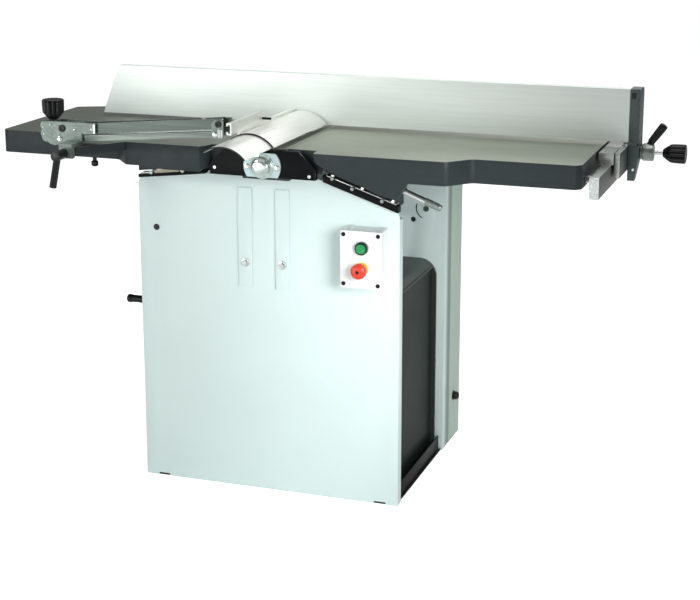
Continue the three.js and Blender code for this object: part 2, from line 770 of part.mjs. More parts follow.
function fenceClampKnob() {
  const { y, z, rod } = LOCK;
  const knob = turned([
    [0, 0],
    [11, 0],
    [22, 14],
    [23, 54],
    [0, 54],
  ], 20).rotateZ(-Math.PI / 2).translate(889, y, z);
  return join(rodX(y, z, rod, 797.8, 892), knob);
}

const carriage = body();
carriage("fence_carriage", fenceCarriage(), MATERIAL.steel);
const fence = body();
fence("fence_plate", fencePlate(), MATERIAL.aluminium);
fence("fence_end_bracket", fenceEndBracket(), MATERIAL.bracketPaint);
body()("fence_lock_lever", fenceLockLever(), MATERIAL.steel);
body()("fence_clamp_knob", fenceClampKnob(), MATERIAL.blackPlastic);

// ---------------------------------------------------------------- outfeed table
const OUTFEED_BAR = 8.6;
const OUTFEED_RIB = 17.8;

function outfeedTable() {
  const end = OUTFEED_END;
  const rim = [
    [-38, BACK],
    [-38, -238],
    [-118, -238],
    [-124, -262],
    [-134, WIDE],
    [-326, WIDE, 6],
    [-372, NARROW, 10],
    [end, NARROW, 20],
    [end, 166, 6],
    [-620, BACK, 6],
  ];
  const room = [
    [-24, BACK - 10],
    [-24, -228],
    [-125, -228],
    [-140, WIDE + 10],
    [-322, WIDE + 10],
    [-368, NARROW + 10],
    [end + 10, NARROW + 10],
    [end + 10, 161],
    [-624, BACK - 10],
  ];
  const plate = cut(prismZ(rim, TOP - TABLE.edge, TOP), prismZ(room, TOP - TABLE.edge - 1, TOP - TABLE.skin));
  const lug = prismZ([[-326, WIDE], [-402, -383, 4], [-446, -350, 6], [-446, -216], [-330, -216]], TOP - 20, TOP);
  const step = box(-286, -135, WIDE, WIDE + 10, 809.5, 816);
  const frontRib = slideRib(outfeedLine, -325, -128, OUTFEED_RIB, -211, -184);
  const rearRib = slideRib(outfeedLine, -325, -128, OUTFEED_RIB, 182, BACK);
  const crossRibs = [-400, -560].map((x) => box(x - 5, x + 5, NARROW + 5, BACK - 5, TOP - 45, TOP - 15));
  const shell = cut(plate, box(-108, -30, 186, BACK + 5, 800, 838));
  return join(shell, lug, step, frontRib, rearRib, ...crossRibs);
}

// The casting that carries the guard: a clamp on the table's lug and a fork for the two arms.
function guardBracket() {
  const side = [
    [-508, 918, 6],
    [-508, 908, 3],
    [-504, 903.5, 2],
    [-508, 898, 3],
    [-508, 888.5, 3],
    [-502.5, 885.5, 2],
    [-504, 878, 3],
    [-496, 873, 3],
    [-490, 874.5, 2],
    [-484, 868.5, 4],
    [-470, 866, 4],
    [-462, 870.5, 3],
    [-448, 868, 4],
    [-440, 878, 4],
    [-430, 897.5],
    [-364, 898.5],
    [-364, 923, 2],
    [-478, 923, 3],
    [-487, 919.5, 3],
    [-498, 922, 4],
  ];
  const frontPlate = prismY(side, -352, -346);
  const rearPlate = prismY(side, -316, -311);
  const web = box(-506, -490, -351, -312, 880, 921);
  const boss = box(-496, -472, -351, -312, 916, 922.5);
  const leg = box(-438, -400, -352, -346, 870.4, 900);
  const foot = box(-436, -402, -398, -347, 870.4, 880);
  const jaw = box(-436, -402, -398, -385, 846, 880);
  const pins = [ARM.low, ARM.high].map(([x, z]) => rodY(x, z, ARM.pin, -347, -314, 12));
  const bore = rodY(-424, 857, 5, -400, -380, 12);
  return cut(join(frontPlate, rearPlate, web, boss, leg, foot, jaw, ...pins), bore);
}

const outfeed = body();
outfeed(
  "outfeed_slideway",
  slideway(outfeedLine, -326, -152, -190, OUTFEED_BAR, [-312, -176]),
  MATERIAL.blackSteel,
);
outfeed("outfeed_table", outfeedTable(), MATERIAL.castIron);
outfeed("outfeed_lip", tableLip(-1), MATERIAL.steel);
outfeed("outfeed_gib", gib(outfeedLine, -322, -160, OUTFEED_BAR + GAP, [-287, -200], 16.2), MATERIAL.steel);
outfeed("guard_bracket", guardBracket(), MATERIAL.aluminium);

// ---------------------------------------------------------------- bridge guard
function guardHeightKnob() {
  const knob = turned([
    [0, 0],
    [13, 0],
    [25, 17],
    [26, 48],
    [0, 48],
  ], 20).rotateX(Math.PI / 2).translate(-484, -331, 924.5);
  return join(rodZ(-484, -331, 5, 923, 926, 12), knob);
}
body()("guard_height_knob", guardHeightKnob(), MATERIAL.blackPlastic);

function guardClampLever() {
  const hub = rodY(-424, 857, 12, -438, -398.4, 20);
  const screw = rodY(-424, 857, 4.6, -399, -386, 12);
  return join(hub, screw, bar([-424, -426, 857], [-440, -426, 781], 8.5, 8.5));
}
body()("guard_clamp_lever", guardClampLever(), MATERIAL.blackPlastic);

// A flat bar between its two pivot bores.
function guardArm([x, z], half, overhang) {
  const [dx, dz] = ARM.reach;
  const length = Math.hypot(dx, dz);
  const blank = [
    [-overhang, -half, 5],
    [length + overhang, -half, 5],
    [length + overhang, half, 5],
    [-overhang, half, 5],
  ];
  const flat = prismY(blank, ARM.y0, ARM.y1).rotateY(-Math.atan2(dz, dx)).translate(x, 0, z);
  const bores = [[x, z], [x + dx, z + dz]].map(([bx, bz]) => rodY(bx, bz, ARM.bore, -360, -300, 12));
  return cut(flat, ...bores);
}
body()("guard_arm_lower", guardArm(ARM.low, 7, 8), MATERIAL.steel);
body()("guard_arm_upper", guardArm(ARM.high, 12, 11), MATERIAL.steel);

function guardHead() {
  const ends = [ARM.low, ARM.high].map(([x, z]) => [x + ARM.reach[0], z + ARM.reach[1]]);
  const cheek = box(-72, -33, -316.5, -311, 907, 950);
  const pins = ends.map(([x, z], i) => rodY(x, z, ARM.pin - (i ? 1 : 0), -346, -312, 12));
  const rail = box(-34, -22, -345, -150, 916, 940);
  return join(cheek, rail, ...pins);
}
body()("guard_head", guardHead(), MATERIAL.aluminium);

// The guard's curved section: an arc band between two radii about the arch's centre.
function archShape(outerR, innerR, halfAngle) {
  const [x0, z0] = GUARD.left;
  const [x1, z1] = GUARD.right;
  const chord = Math.hypot(x1 - x0, z1 - z0);
  const radius = (chord * chord / 4 + GUARD.rise ** 2) / (2 * GUARD.rise);
  const tilt = Math.atan2(z1 - z0, x1 - x0);
  const drop = radius - GUARD.rise;
  const cx = (x0 + x1) / 2 + drop * Math.sin(tilt);
  const cz = (z0 + z1) / 2 - drop * Math.cos(tilt);
  const spread = Math.asin(chord / 2 / radius) * halfAngle;
  const middle = tilt + Math.PI / 2;
  const shape = new THREE.Shape();
  shape.absarc(cx, cz, radius - outerR, middle - spread, middle + spread, false);
  shape.absarc(cx, cz, radius - innerR, middle + spread, middle - spread, true);
  return shape;
}

function outerGuard() {
  const arch = prismY(archShape(0, GUARD.skin, 1), -290, 62, 12);
  const slider = box(-32, -24, -290, 62, 903, 915.6);
  const trimmed = cut(slider, prismY(archShape(1, 40, 1.2), -300, 70, 12));
  return join(arch, trimmed);
}

function innerGuard() {
  const inset = GUARD.skin + GUARD.gap;
  return prismY(archShape(inset, inset + GUARD.skin, 0.96), -452, -150, 12);
}
body()("guard_outer", outerGuard(), MATERIAL.aluminium);
body()("guard_inner", innerGuard(), MATERIAL.aluminium);

export default planer;
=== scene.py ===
"""Looks for the combined surface planer and thicknesser: materials, fine meshes, floor, light and camera.

Lengths in this file are in millimetres and are turned into metres where a mesh is made. The main places come
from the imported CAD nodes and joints. X runs along the tables, Y from the operator's side to the back, Z up.
"""

import json
import math

import bmesh
import bpy
from mathutils import Matrix, Vector


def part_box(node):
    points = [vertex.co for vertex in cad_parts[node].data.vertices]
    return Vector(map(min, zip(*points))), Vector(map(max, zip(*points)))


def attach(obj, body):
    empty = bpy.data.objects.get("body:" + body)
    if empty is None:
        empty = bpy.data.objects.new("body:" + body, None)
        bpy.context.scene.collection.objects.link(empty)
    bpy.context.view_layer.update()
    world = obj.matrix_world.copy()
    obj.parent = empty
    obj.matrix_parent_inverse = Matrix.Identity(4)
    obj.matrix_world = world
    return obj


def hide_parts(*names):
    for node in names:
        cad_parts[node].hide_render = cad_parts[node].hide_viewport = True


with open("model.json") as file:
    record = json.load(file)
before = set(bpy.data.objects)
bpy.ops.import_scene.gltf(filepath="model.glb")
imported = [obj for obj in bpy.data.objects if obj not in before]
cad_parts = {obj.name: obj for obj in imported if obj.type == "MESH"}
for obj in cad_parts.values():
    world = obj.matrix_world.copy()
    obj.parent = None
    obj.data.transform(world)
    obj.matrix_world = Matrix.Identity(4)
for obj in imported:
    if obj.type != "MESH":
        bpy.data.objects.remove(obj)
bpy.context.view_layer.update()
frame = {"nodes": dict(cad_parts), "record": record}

MM = 0.001
TAU = 2 * math.pi
TO_RIGHT, TO_BACK, TO_FRONT, UP, DOWN = (1, 0, 0), (0, 1, 0), (0, -1, 0), (0, 0, 1), (0, 0, -1)
BODY_OF = {node: body for body, nodes in frame["record"]["behaviour"]["bodies"].items() for node in nodes}
SLOT_OF = {part["node"]: part["material_slot"] for part in frame["record"]["subparts"]}
JOINTS = {joint["name"]: joint for joint in frame["record"]["behaviour"]["joints"]}


def corners(node):
    """A CAD node's lowest and highest corners, in millimetres."""
    low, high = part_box(node)
    return Vector(low) / MM, Vector(high) / MM


def middle(node):
    low, high = corners(node)
    return (low + high) / 2


def pivot(joint):
    """A hinge's point, in millimetres."""
    return Vector(JOINTS[joint]["pos_m"]) / MM


# ---------------------------------------- materials
def new_material(name, color, rough, metal=0.0, **sockets):
    material = bpy.data.materials.new(name)
    material.use_nodes = True
    shader = material.node_tree.nodes["Principled BSDF"]
    shader.inputs["Base Color"].default_value = (*color, 1)
    shader.inputs["Roughness"].default_value = rough
    shader.inputs["Metallic"].default_value = metal
    for socket, value in sockets.items():
        shader.inputs[socket.replace("_", " ")].default_value = value
    return material


def add_noise(material, scale, stretch=(1, 1, 1), detail=4.0):
    """A noise over the object's own coordinates, in features per metre."""
    nodes, links = material.node_tree.nodes, material.node_tree.links
    place = nodes.new("ShaderNodeTexCoord")
    mapping = nodes.new("ShaderNodeMapping")
    mapping.inputs["Scale"].default_value = stretch
    noise = nodes.new("ShaderNodeTexNoise")
    noise.inputs["Scale"].default_value = scale
    noise.inputs["Detail"].default_value = detail
    links.new(place.outputs["Object"], mapping.inputs["Vector"])
    links.new(mapping.outputs["Vector"], noise.inputs["Vector"])
    return noise.outputs["Fac"]


def vary_color(material, factor, dark, light):
    """The base colour runs between two tones with the factor."""
    nodes, links = material.node_tree.nodes, material.node_tree.links
    ramp = nodes.new("ShaderNodeValToRGB")
    ramp.color_ramp.elements[0].position = 0.35
    ramp.color_ramp.elements[0].color = (*dark, 1)
    ramp.color_ramp.elements[1].position = 0.65
    ramp.color_ramp.elements[1].color = (*light, 1)
    links.new(factor, ramp.inputs["Fac"])
    links.new(ramp.outputs["Color"], nodes["Principled BSDF"].inputs["Base Color"])


def vary_roughness(material, factor, low, high):
    nodes, links = material.node_tree.nodes, material.node_tree.links
    span = nodes.new("ShaderNodeMapRange")
    span.inputs["From Min"].default_value = 0.3
    span.inputs["From Max"].default_value = 0.7
    span.inputs["To Min"].default_value = low
    span.inputs["To Max"].default_value = high
    links.new(factor, span.inputs["Value"])
    links.new(span.outputs["Result"], nodes["Principled BSDF"].inputs["Roughness"])


def add_bump(material, *layers):
    """Layers of (height factor, depth in millimetres, strength), one over the other."""
    nodes, links = material.node_tree.nodes, material.node_tree.links
    normal = None
    for factor, depth, strength in layers:
        bump = nodes.new("ShaderNodeBump")
        bump.inputs["Distance"].default_value = depth * MM
        bump.inputs["Strength"].default_value = strength
        links.new(factor, bump.inputs["Height"])
        if normal:
            links.new(normal, bump.inputs["Normal"])
        normal = bump.outputs["Normal"]
    links.new(normal, nodes["Principled BSDF"].inputs["Normal"])


def scaled(color, by):
    return tuple(min(1.0, part * by) for part in color)


def painted(name, color, rough, grain=900, depth=0.05, spread=0.06, gloss=0.5):
    """Powder coat or enamel: fine orange peel and a faint cloudy tone."""
    material = new_material(name, color, rough, Specular_IOR_Level=gloss)
    cloud = add_noise(material, 3, detail=6)
    peel = add_noise(material, grain, detail=2)
    vary_color(material, cloud, scaled(color, 1 - spread), scaled(color, 1 + spread))
    vary_roughness(material, cloud, rough - 0.06, rough + 0.06)
    add_bump(material, (peel, depth, 0.5))
    return material


def machined(name, color, rough, along, fine=260, spread=0.12, depth=0.03, metal=1.0):
    """Metal with fine tool marks that run along one axis."""
    material = new_material(name, color, rough, metal)
    squeeze = [1.0, 1.0, 1.0]
    squeeze["xyz".index(along)] = 0.02
    lines = add_noise(material, fine, squeeze, detail=5)
    cloud = add_noise(material, 6, detail=5)
    vary_color(material, lines, scaled(color, 1 - spread), scaled(color, 1 + spread))
    vary_roughness(material, cloud, rough - 0.03, rough + 0.03)
    add_bump(material, (lines, depth, 0.6))
    return material


def rough_cast(name, color, rough, metal, grain=420, depth=0.35, spread=0.15, gloss=0.5):
    """A sand-cast skin."""
    material = new_material(name, color, rough, metal, Specular_IOR_Level=gloss)
    grit = add_noise(material, grain, detail=8)
    lumps = add_noise(material, 60, detail=3)
    vary_color(material, grit, scaled(color, 1 - spread), scaled(color, 1 + spread))
    vary_roughness(material, lumps, rough - 0.08, rough + 0.08)
    add_bump(material, (lumps, 0.8, 0.25), (grit, depth, 0.6))
    return material


def plastic(name, color, rough, grain=1500, depth=0.04, gloss=0.5):
    """Moulded plastic with a fine spark-eroded grain."""
    material = new_material(name, color, rough, Specular_IOR_Level=gloss)
    grit = add_noise(material, grain, detail=3)
    cloud = add_noise(material, 25, detail=3)
    vary_color(material, cloud, scaled(color, 0.93), scaled(color, 1.07))
    vary_roughness(material, cloud, rough - 0.05, rough + 0.05)
    add_bump(material, (grit, depth, 0.5))
    return material


LOOK = {
    "panel_white": painted("white_powder_coat", (0.7, 0.84, 0.815), 0.42, spread=0.025),
    "cover_beige": painted("grey_green_powder_coat", (0.45, 0.57, 0.5), 0.45, spread=0.03),
    "hood_dark": painted("dark_hood_paint", (0.03, 0.043, 0.036), 0.5, spread=0.12, depth=0.08, gloss=0.16),
    "black_steel": painted(
        "black_satin_paint", (0.004, 0.005, 0.0055), 0.42, spread=0.15, grain=700, gloss=0.1
    ),
    "table_iron": rough_cast(
        "slate_paint", (0.02, 0.03, 0.033), 0.5, 0.0, grain=700, depth=0.12, spread=0.1, gloss=0.35
    ),
    "housing_iron": rough_cast("grey_casting", (0.04, 0.045, 0.047), 0.55, 0.2),
    "steel_bright": machined("bright_steel", (0.58, 0.6, 0.57), 0.28, "x"),
    "alu_satin": machined("satin_aluminium", (0.86, 0.875, 0.83), 0.34, "y", spread=0.03, metal=0.55),
    "bracket_grey": rough_cast("grey_enamel_casting", (0.075, 0.1, 0.1), 0.42, 0.1, grain=300, depth=0.15),
    "motor_grey": painted("motor_enamel", (0.08, 0.12, 0.15), 0.4),
    "belt_rubber": plastic("belt_rubber", (0.016, 0.016, 0.017), 0.75, grain=600, depth=0.15),
    "box_plastic": plastic("light_grey_plastic", (0.86, 0.9, 0.89), 0.4),
    "green_plastic": plastic("green_plastic", (0.004, 0.28, 0.08), 0.28, grain=900, depth=0.01),
    "red_plastic": plastic("red_plastic", (0.68, 0.05, 0.02), 0.28, grain=900, depth=0.01),
    "black_plastic": plastic(
        "black_plastic", (0.004, 0.0045, 0.005), 0.3, grain=900, depth=0.03, gloss=0.35
    ),
}
TABLE_TOP = machined("machined_iron_top", (0.33, 0.36, 0.3), 0.45, "x", fine=420, spread=0.09, metal=0.8)
# A darker copy of the machined top for the outfeed table: painted shade that stands in for its darker
# reflection.
OUTFEED_TOP_SHADE = machined("outfeed_top_painted_shade", (0.2, 0.225, 0.19), 0.47, "x", fine=420, spread=0.12, metal=0.8)
FENCE_FACE = machined(
    "fence_face", (0.88, 0.95, 0.9), 0.5, "x", fine=300, spread=0.025, metal=0.35, depth=0.015
)
BRIGHT_CAST = rough_cast("bright_casting", (0.3, 0.335, 0.315), 0.36, 0.9, grain=240, depth=0.5, spread=0.25)
BRACKET_CAST = rough_cast("bracket_casting", (0.2, 0.245, 0.22), 0.42, 0.5, grain=170, depth=0.2, spread=0.14)
POLISHED = machined("polished_steel", (0.62, 0.7, 0.67), 0.22, "y", fine=90, spread=0.08)
ARM_STEEL = machined("dull_bar_steel", (0.21, 0.25, 0.225), 0.34, "x", fine=300, spread=0.15)
DARK_STEEL = machined("dark_channel_steel", (0.1, 0.12, 0.11), 0.36, "x", fine=300, spread=0.12)
SAWN_SIDE = machined("bar_side_steel", (0.17, 0.19, 0.175), 0.42, "y", fine=300, spread=0.12)
LIP_STEEL = machined("ground_lip_steel", (0.5, 0.54, 0.47), 0.34, "y", fine=300, spread=0.08)
SAWN_END = rough_cast("sawn_steel_end", (0.72, 0.77, 0.75), 0.5, 0.6, grain=300, depth=0.5, spread=0.18)
PLATED = machined("zinc_plated_steel", (0.66, 0.69, 0.68), 0.24, "z", fine=500, spread=0.06)
BLUED_PLATE = machined("bearing_plate", (0.5, 0.64, 0.65), 0.42, "z", fine=120, spread=0.08, metal=0.4)
YELLOW = plastic("yellow_plastic", (0.85, 0.62, 0.02), 0.35)
BRONZE_STRIP = machined("bronze_strip", (0.3, 0.28, 0.21), 0.45, "x", metal=0.5)
# Three tones of the hood's dark paint: the lighter front rim is a painted reflection, the lighter top is a
# painted highlight, and the darker side walls are painted shade.
HOOD_RIM_REFLECTION_PAINT = painted("hood_rim_painted_reflection", (0.13, 0.16, 0.14), 0.45, spread=0.1, gloss=0.3)
HOOD_TOP_HIGHLIGHT_PAINT = painted("hood_top_painted_highlight", (0.075, 0.095, 0.083), 0.45, spread=0.12, gloss=0.3)
HOOD_WALL_SHADE_PAINT = painted("hood_wall_painted_shade", (0.017, 0.024, 0.02), 0.5, spread=0.12, depth=0.08, gloss=0.12)
SEAM_SHADE_PAINT = painted("cover_seam_shade", (0.26, 0.35, 0.32), 0.6, spread=0.06)
# A darker copy of the plated bolt steel, as painted shade for the bolts under the tables.
WAY_BOLT_STEEL = machined("bolt_steel_painted_shade", (0.3, 0.34, 0.31), 0.34, "z", fine=500, spread=0.1)


# ---------------------------------------- mesh helpers
def to_object(name, bm, smooth_angle=35):
    """A new object from a bmesh in millimetres, with faces shaded smooth up to an angle."""
    bmesh.ops.recalc_face_normals(bm, faces=bm.faces)
    for face in bm.faces:
        face.smooth = True
    limit = math.radians(smooth_angle)
    for edge in bm.edges:
        edge.smooth = len(edge.link_faces) == 2 and edge.calc_face_angle(0) < limit
    bmesh.ops.scale(bm, vec=(MM, MM, MM), verts=bm.verts)
    mesh = bpy.data.meshes.new(name)
    bm.to_mesh(mesh)
    bm.free()
    obj = bpy.data.objects.new(name, mesh)
    bpy.context.scene.collection.objects.link(obj)
    return obj


def bevel_sharp(bm, width, segments=2, angle=30):
    """Rounds every edge sharper than the angle."""
    if width <= 0:
        return
    limit = math.radians(angle)
    sharp = [e for e in bm.edges if len(e.link_faces) == 2 and e.calc_face_angle(0) > limit]
    bmesh.ops.bevel(
        bm, geom=sharp, offset=width, segments=segments, profile=0.6, affect="EDGES", clamp_overlap=True
    )


def frame_axes(axis):
    """Two directions across an axis, and the axis."""
    w = Vector(axis).normalized()
    u = Vector(UP) if abs(w.z) < 0.9 else Vector(TO_RIGHT)
    u = (u - w * u.dot(w)).normalized()
    return u, w.cross(u), w


def rounded(points, steps=6):
    """An outline of (u, v, radius) corners, with arcs at the corners that have a radius."""
    out = []
    count = len(points)
    for i, point in enumerate(points):
        corner = Vector(point[:2])
        radius = point[2] if len(point) > 2 else 0
        if radius <= 0:
            out.append(corner)
            continue
        before = (Vector(points[i - 1][:2]) - corner).normalized()
        after = (Vector(points[(i + 1) % count][:2]) - corner).normalized()
        half = before.angle(after) / 2
        reach = radius / math.tan(half)
        centre = corner + (before + after).normalized() * (radius / math.sin(half))
        start, end = corner + before * reach - centre, corner + after * reach - centre
        turn = start.angle_signed(end)
        for k in range(steps + 1):
            angle = -turn * k / steps
            out.append(centre + Matrix.Rotation(angle, 2) @ start)
    return out


PLANES = {
    "x": lambda u, v, w: (w, u, v),
    "y": lambda u, v, w: (u, w, v),
    "z": lambda u, v, w: (u, v, w),
}


def add_prism(bm, points, axis, low, high, steps=6):
    """An outline in YZ, XZ or XY, extruded along X, Y or Z."""
    place = PLANES[axis]
    flat = rounded(points, steps)
    rings = [[bm.verts.new(place(p[0], p[1], w)) for p in flat] for w in (low, high)]
    count = len(flat)
    bm.faces.new(rings[0])
    bm.faces.new(rings[1])
    for i in range(count):
        j = (i + 1) % count
        bm.faces.new((rings[0][i], rings[0][j], rings[1][j], rings[1][i]))


def prism(name, points, axis, low, high, bevel=0.6, segments=2, steps=6, angle=30):
    bm = bmesh.new()
    add_prism(bm, points, axis, low, high, steps)
    bevel_sharp(bm, bevel, segments, angle)
    return to_object(name, bm)


def block(name, low, high, bevel=0.6):
    """A bevelled block between two corners."""
    points = [(low[0], low[1]), (high[0], low[1]), (high[0], high[1]), (low[0], high[1])]
    return prism(name, points, "z", low[2], high[2], bevel)


def add_turned(bm, profile, origin, axis, steps=48, flute=None):
    """A turned solid: (radius, height) pairs along an axis. flute(angle, height) scales the radius."""
    u, v, w = frame_axes(axis)
    origin = Vector(origin)
    rings = []
    for radius, height in profile:
        if radius == 0:
            rings.append([bm.verts.new(origin + w * height)])
            continue
        ring = []
        for k in range(steps):
            angle = TAU * k / steps
            r = radius * (flute(angle, height) if flute else 1)
            ring.append(bm.verts.new(origin + w * height + (u * math.cos(angle) + v * math.sin(angle)) * r))
        rings.append(ring)
    for a, b in zip(rings, rings[1:]):
        for k in range(steps):
            j = (k + 1) % steps
            loop = [a[k % len(a)], a[j % len(a)], b[j % len(b)], b[k % len(b)]]
            unique = list(dict.fromkeys(loop))
            if len(unique) > 2:
                bm.faces.new(unique)


def turned(name, profile, origin, axis, steps=48, flute=None, smooth_angle=40):
    bm = bmesh.new()
    add_turned(bm, profile, origin, axis, steps, flute)
    return to_object(name, bm, smooth_angle)


def soft_profile(profile, radius=0.8, steps=3):
    """A turning profile with its inner corners rounded."""
    out = [profile[0]]
    for before, corner, after in zip(profile, profile[1:], profile[2:]):
        a, b, c = Vector(before), Vector(corner), Vector(after)
        reach = min(radius, (a - b).length * 0.45, (c - b).length * 0.45)
        start, end = b + (a - b).normalized() * reach, b + (c - b).normalized() * reach
        for k in range(steps + 1):
            t = k / steps
            out.append(tuple((1 - t) ** 2 * start + 2 * t * (1 - t) * b + t * t * end))
    out.append(profile[-1])
    return out


def add_hexagon(bm, origin, axis, across, height):
    """A bevelled hex head."""
    u, v, w = frame_axes(axis)
    origin = Vector(origin)
    radius = across / 2 / math.cos(math.pi / 6)
    levels = [(radius * 0.99, 0), (radius, height * 0.1), (radius, height * 0.82), (radius * 0.88, height)]
    rings = []
    for r, h in levels:
        directions = [u * math.cos(TAU * k / 6) + v * math.sin(TAU * k / 6) for k in range(6)]
        rings.append([bm.verts.new(origin + w * h + d * r) for d in directions])
    for a, b in zip(rings, rings[1:]):
        for k in range(6):
            bm.faces.new((a[k], a[(k + 1) % 6], b[(k + 1) % 6], b[k]))
    bm.faces.new(rings[0][::-1])
    bm.faces.new(rings[-1])


def add_socket_screw(bm, origin, axis, radius, height):
    """A round head with a hexagon socket."""
    u, v, w = frame_axes(axis)
    origin = Vector(origin)
    steps = 24
    key = radius * 0.5
    rounds = [(radius, 0), (radius, height * 0.85), (radius * 0.9, height)]
    rings = []
    for r, h in rounds:
        ring = [u * math.cos(TAU * k / steps) * r + v * math.sin(TAU * k / steps) * r for k in range(steps)]
        rings.append([bm.verts.new(origin + w * h + p) for p in ring])
    for depth in (height, height * 0.35):
        ring = []
        for k in range(steps):
            angle = TAU * k / steps
            sector = (angle % (TAU / 6)) - TAU / 12
            r = key * math.cos(TAU / 12) / math.cos(sector)
            ring.append(bm.verts.new(origin + w * depth + (u * math.cos(angle) + v * math.sin(angle)) * r))
        rings.append(ring)
    for a, b in zip(rings, rings[1:]):
        for k in range(steps):
            bm.faces.new((a[k], a[(k + 1) % steps], b[(k + 1) % steps], b[k]))
    bm.faces.new(rings[0][::-1])
    bm.faces.new(rings[-1])


def bolts(name, places, axis, across=10, height=5, washer=True):
    """Hex bolts, each on a washer unless it is left out."""
    bm = bmesh.new()
    for place in places:
        base = Vector(place)
        if washer:
            disc = [(0, 0), (across * 0.95, 0), (across * 0.95, 1.2), (across * 0.85, 1.6), (0, 1.6)]
            add_turned(bm, disc, base, axis, steps=32)
            base = base + Vector(axis).normalized() * 1.55
        add_hexagon(bm, base, axis, across, height)
    return to_object(name, bm)


def screws(name, places, axis, radius=4, height=4):
    """Socket-head screws."""
    bm = bmesh.new()
    for place in places:
        add_socket_screw(bm, place, axis, radius, height)
    return to_object(name, bm)


def dissolved(node):
    """A CAD node's mesh as a bmesh in millimetres, with its flat triangles merged into whole faces."""
    bm = bmesh.new()
    bm.from_mesh(frame["nodes"][node].data)
    bmesh.ops.scale(bm, vec=(1 / MM,) * 3, verts=bm.verts)
    bmesh.ops.remove_doubles(bm, verts=bm.verts, dist=0.02)
    bmesh.ops.dissolve_limit(bm, angle_limit=math.radians(0.7), verts=bm.verts, edges=bm.edges)
    return bm


def paint_faces(obj, material, chosen):
    """A second material on the faces that chosen(centre, normal) picks, in millimetres."""
    obj.data.materials.append(material)
    index = len(obj.data.materials) - 1
    for face in obj.data.polygons:
        if chosen(Vector(face.center) / MM, face.normal):
            face.material_index = index


def dress(obj, node, slot=None, material=None, replaces=True):
    """Gives a piece its material, picked by its slot, and the body that it moves with."""
    body = BODY_OF[node]
    slot = slot or SLOT_OF[node]
    obj.data.materials.clear()
    obj.data.materials.append(material or LOOK[slot])
    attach(obj, body)
    if replaces:
        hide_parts(node)
    return obj


def refined(node, bevel=0.7, material=None):
    """The CAD node's own shape with its edges rounded and its curved faces shaded smooth."""
    bm = dissolved(node)
    bevel_sharp(bm, bevel)
    obj = to_object(node + "_finished", bm)
    return dress(obj, node, material=material)


def extra(obj, like, slot=None, material=None):
    """A piece that goes with a CAD node without standing for it."""
    return dress(obj, like, slot=slot, material=material, replaces=False)


def carved(obj, *cutters):
    """Takes the cutter objects out of a piece and removes them."""
    for cutter in cutters:
        cut = obj.modifiers.new("cut", "BOOLEAN")
        cut.operation = "DIFFERENCE"
        cut.solver = "EXACT"
        cut.use_self = True
        cut.object = cutter
    shaped = obj.evaluated_get(bpy.context.evaluated_depsgraph_get())
    mesh = bpy.data.meshes.new_from_object(shaped)
    obj.modifiers.clear()
    obj.data = mesh
    mesh.set_sharp_from_angle(angle=math.radians(35))
    for cutter in cutters:
        bpy.data.objects.remove(cutter)
    return obj


def rectangle(x0, x1, z0, z1, radius=0):
    return [(x0, z0, radius), (x1, z0, radius), (x1, z1, radius), (x0, z1, radius)]


# ---------------------------------------- sheet-metal cabinet
PANEL_HOLE_X, PANEL_HOLE_Z = -288, 648
STOP_X, STOP_Z, STOP_ARC_INNER, STOP_ARC_OUTER = 284, 652, 26, 28.4
LOUVRE_COLUMNS, LOUVRE_ROWS, LOUVRE_PITCH, LOUVRE_BOTTOM = (-150, 50), 7, 18, 80
LOUVRE_LENGTH, LOUVRE_HEIGHT, LOUVRE_CORNER = 100, 7, 3.4
SEAM_DEPTH, SEAM_START, SEAM_END = 1.1, 12, 40
COVER_SCREW_INSET, COVER_SCREW_ROWS = 30, (40, 390, 705)

for node in ("front_side_panel", "rear_side_panel"):
    refined(node, bevel=0.7)
plug = [(6.5, 2.5), (6.5, -0.3), (8, -0.6), (7.6, -1.4), (5, -1.6), (0, -1.2)]
plug_at = (PANEL_HOLE_X, corners("front_side_panel")[0].y, PANEL_HOLE_Z)
extra(turned("front_panel_plug", plug, plug_at, TO_BACK, 32), "front_side_panel", "black_plastic")
refined("base_pan", bevel=0.5)


def stop_arc(radius):
    """Points round the lower left of the bolt on the rear panel."""
    angles = [math.radians(degrees) for degrees in range(155, 246, 6)]
    return [(STOP_X + radius * math.cos(a), STOP_Z + radius * math.sin(a)) for a in angles]


rear_face = corners("rear_side_panel")[0].y
rear_boss = bolts("rear_panel_bolt", [(STOP_X, rear_face + 0.1, STOP_Z)], TO_FRONT, 14, 5, washer=False)
# The bolt gets the darker bolt steel, as painted shade.
extra(rear_boss, "rear_side_panel", material=WAY_BOLT_STEEL)
arc = stop_arc(STOP_ARC_OUTER) + stop_arc(STOP_ARC_INNER)[::-1]
arc = prism("rear_panel_arc", arc, "y", rear_face - 0.3, rear_face + 0.3, bevel=0)
extra(arc, "rear_side_panel", "black_plastic")

cover = refined("drive_cover", bevel=0.8)
cover_low, cover_high = corners("drive_cover")
louvres = bmesh.new()
for x in LOUVRE_COLUMNS:
    for row in range(LOUVRE_ROWS):
        z = LOUVRE_BOTTOM + row * LOUVRE_PITCH
        opening = rectangle(x, x + LOUVRE_LENGTH, z, z + LOUVRE_HEIGHT, LOUVRE_CORNER)
        add_prism(louvres, opening, "y", cover_high.y - 8, cover_high.y + 3)
seam_floor = cover_high.x - SEAM_DEPTH
seam_low = (seam_floor, cover_low.y + SEAM_START, -5)
seam_high = (cover_high.x + 5, cover_low.y + SEAM_END, 900)
seam = block("drive_cover_seam", seam_low, seam_high, bevel=0)
carved(cover, to_object("drive_cover_louvres", louvres), seam)
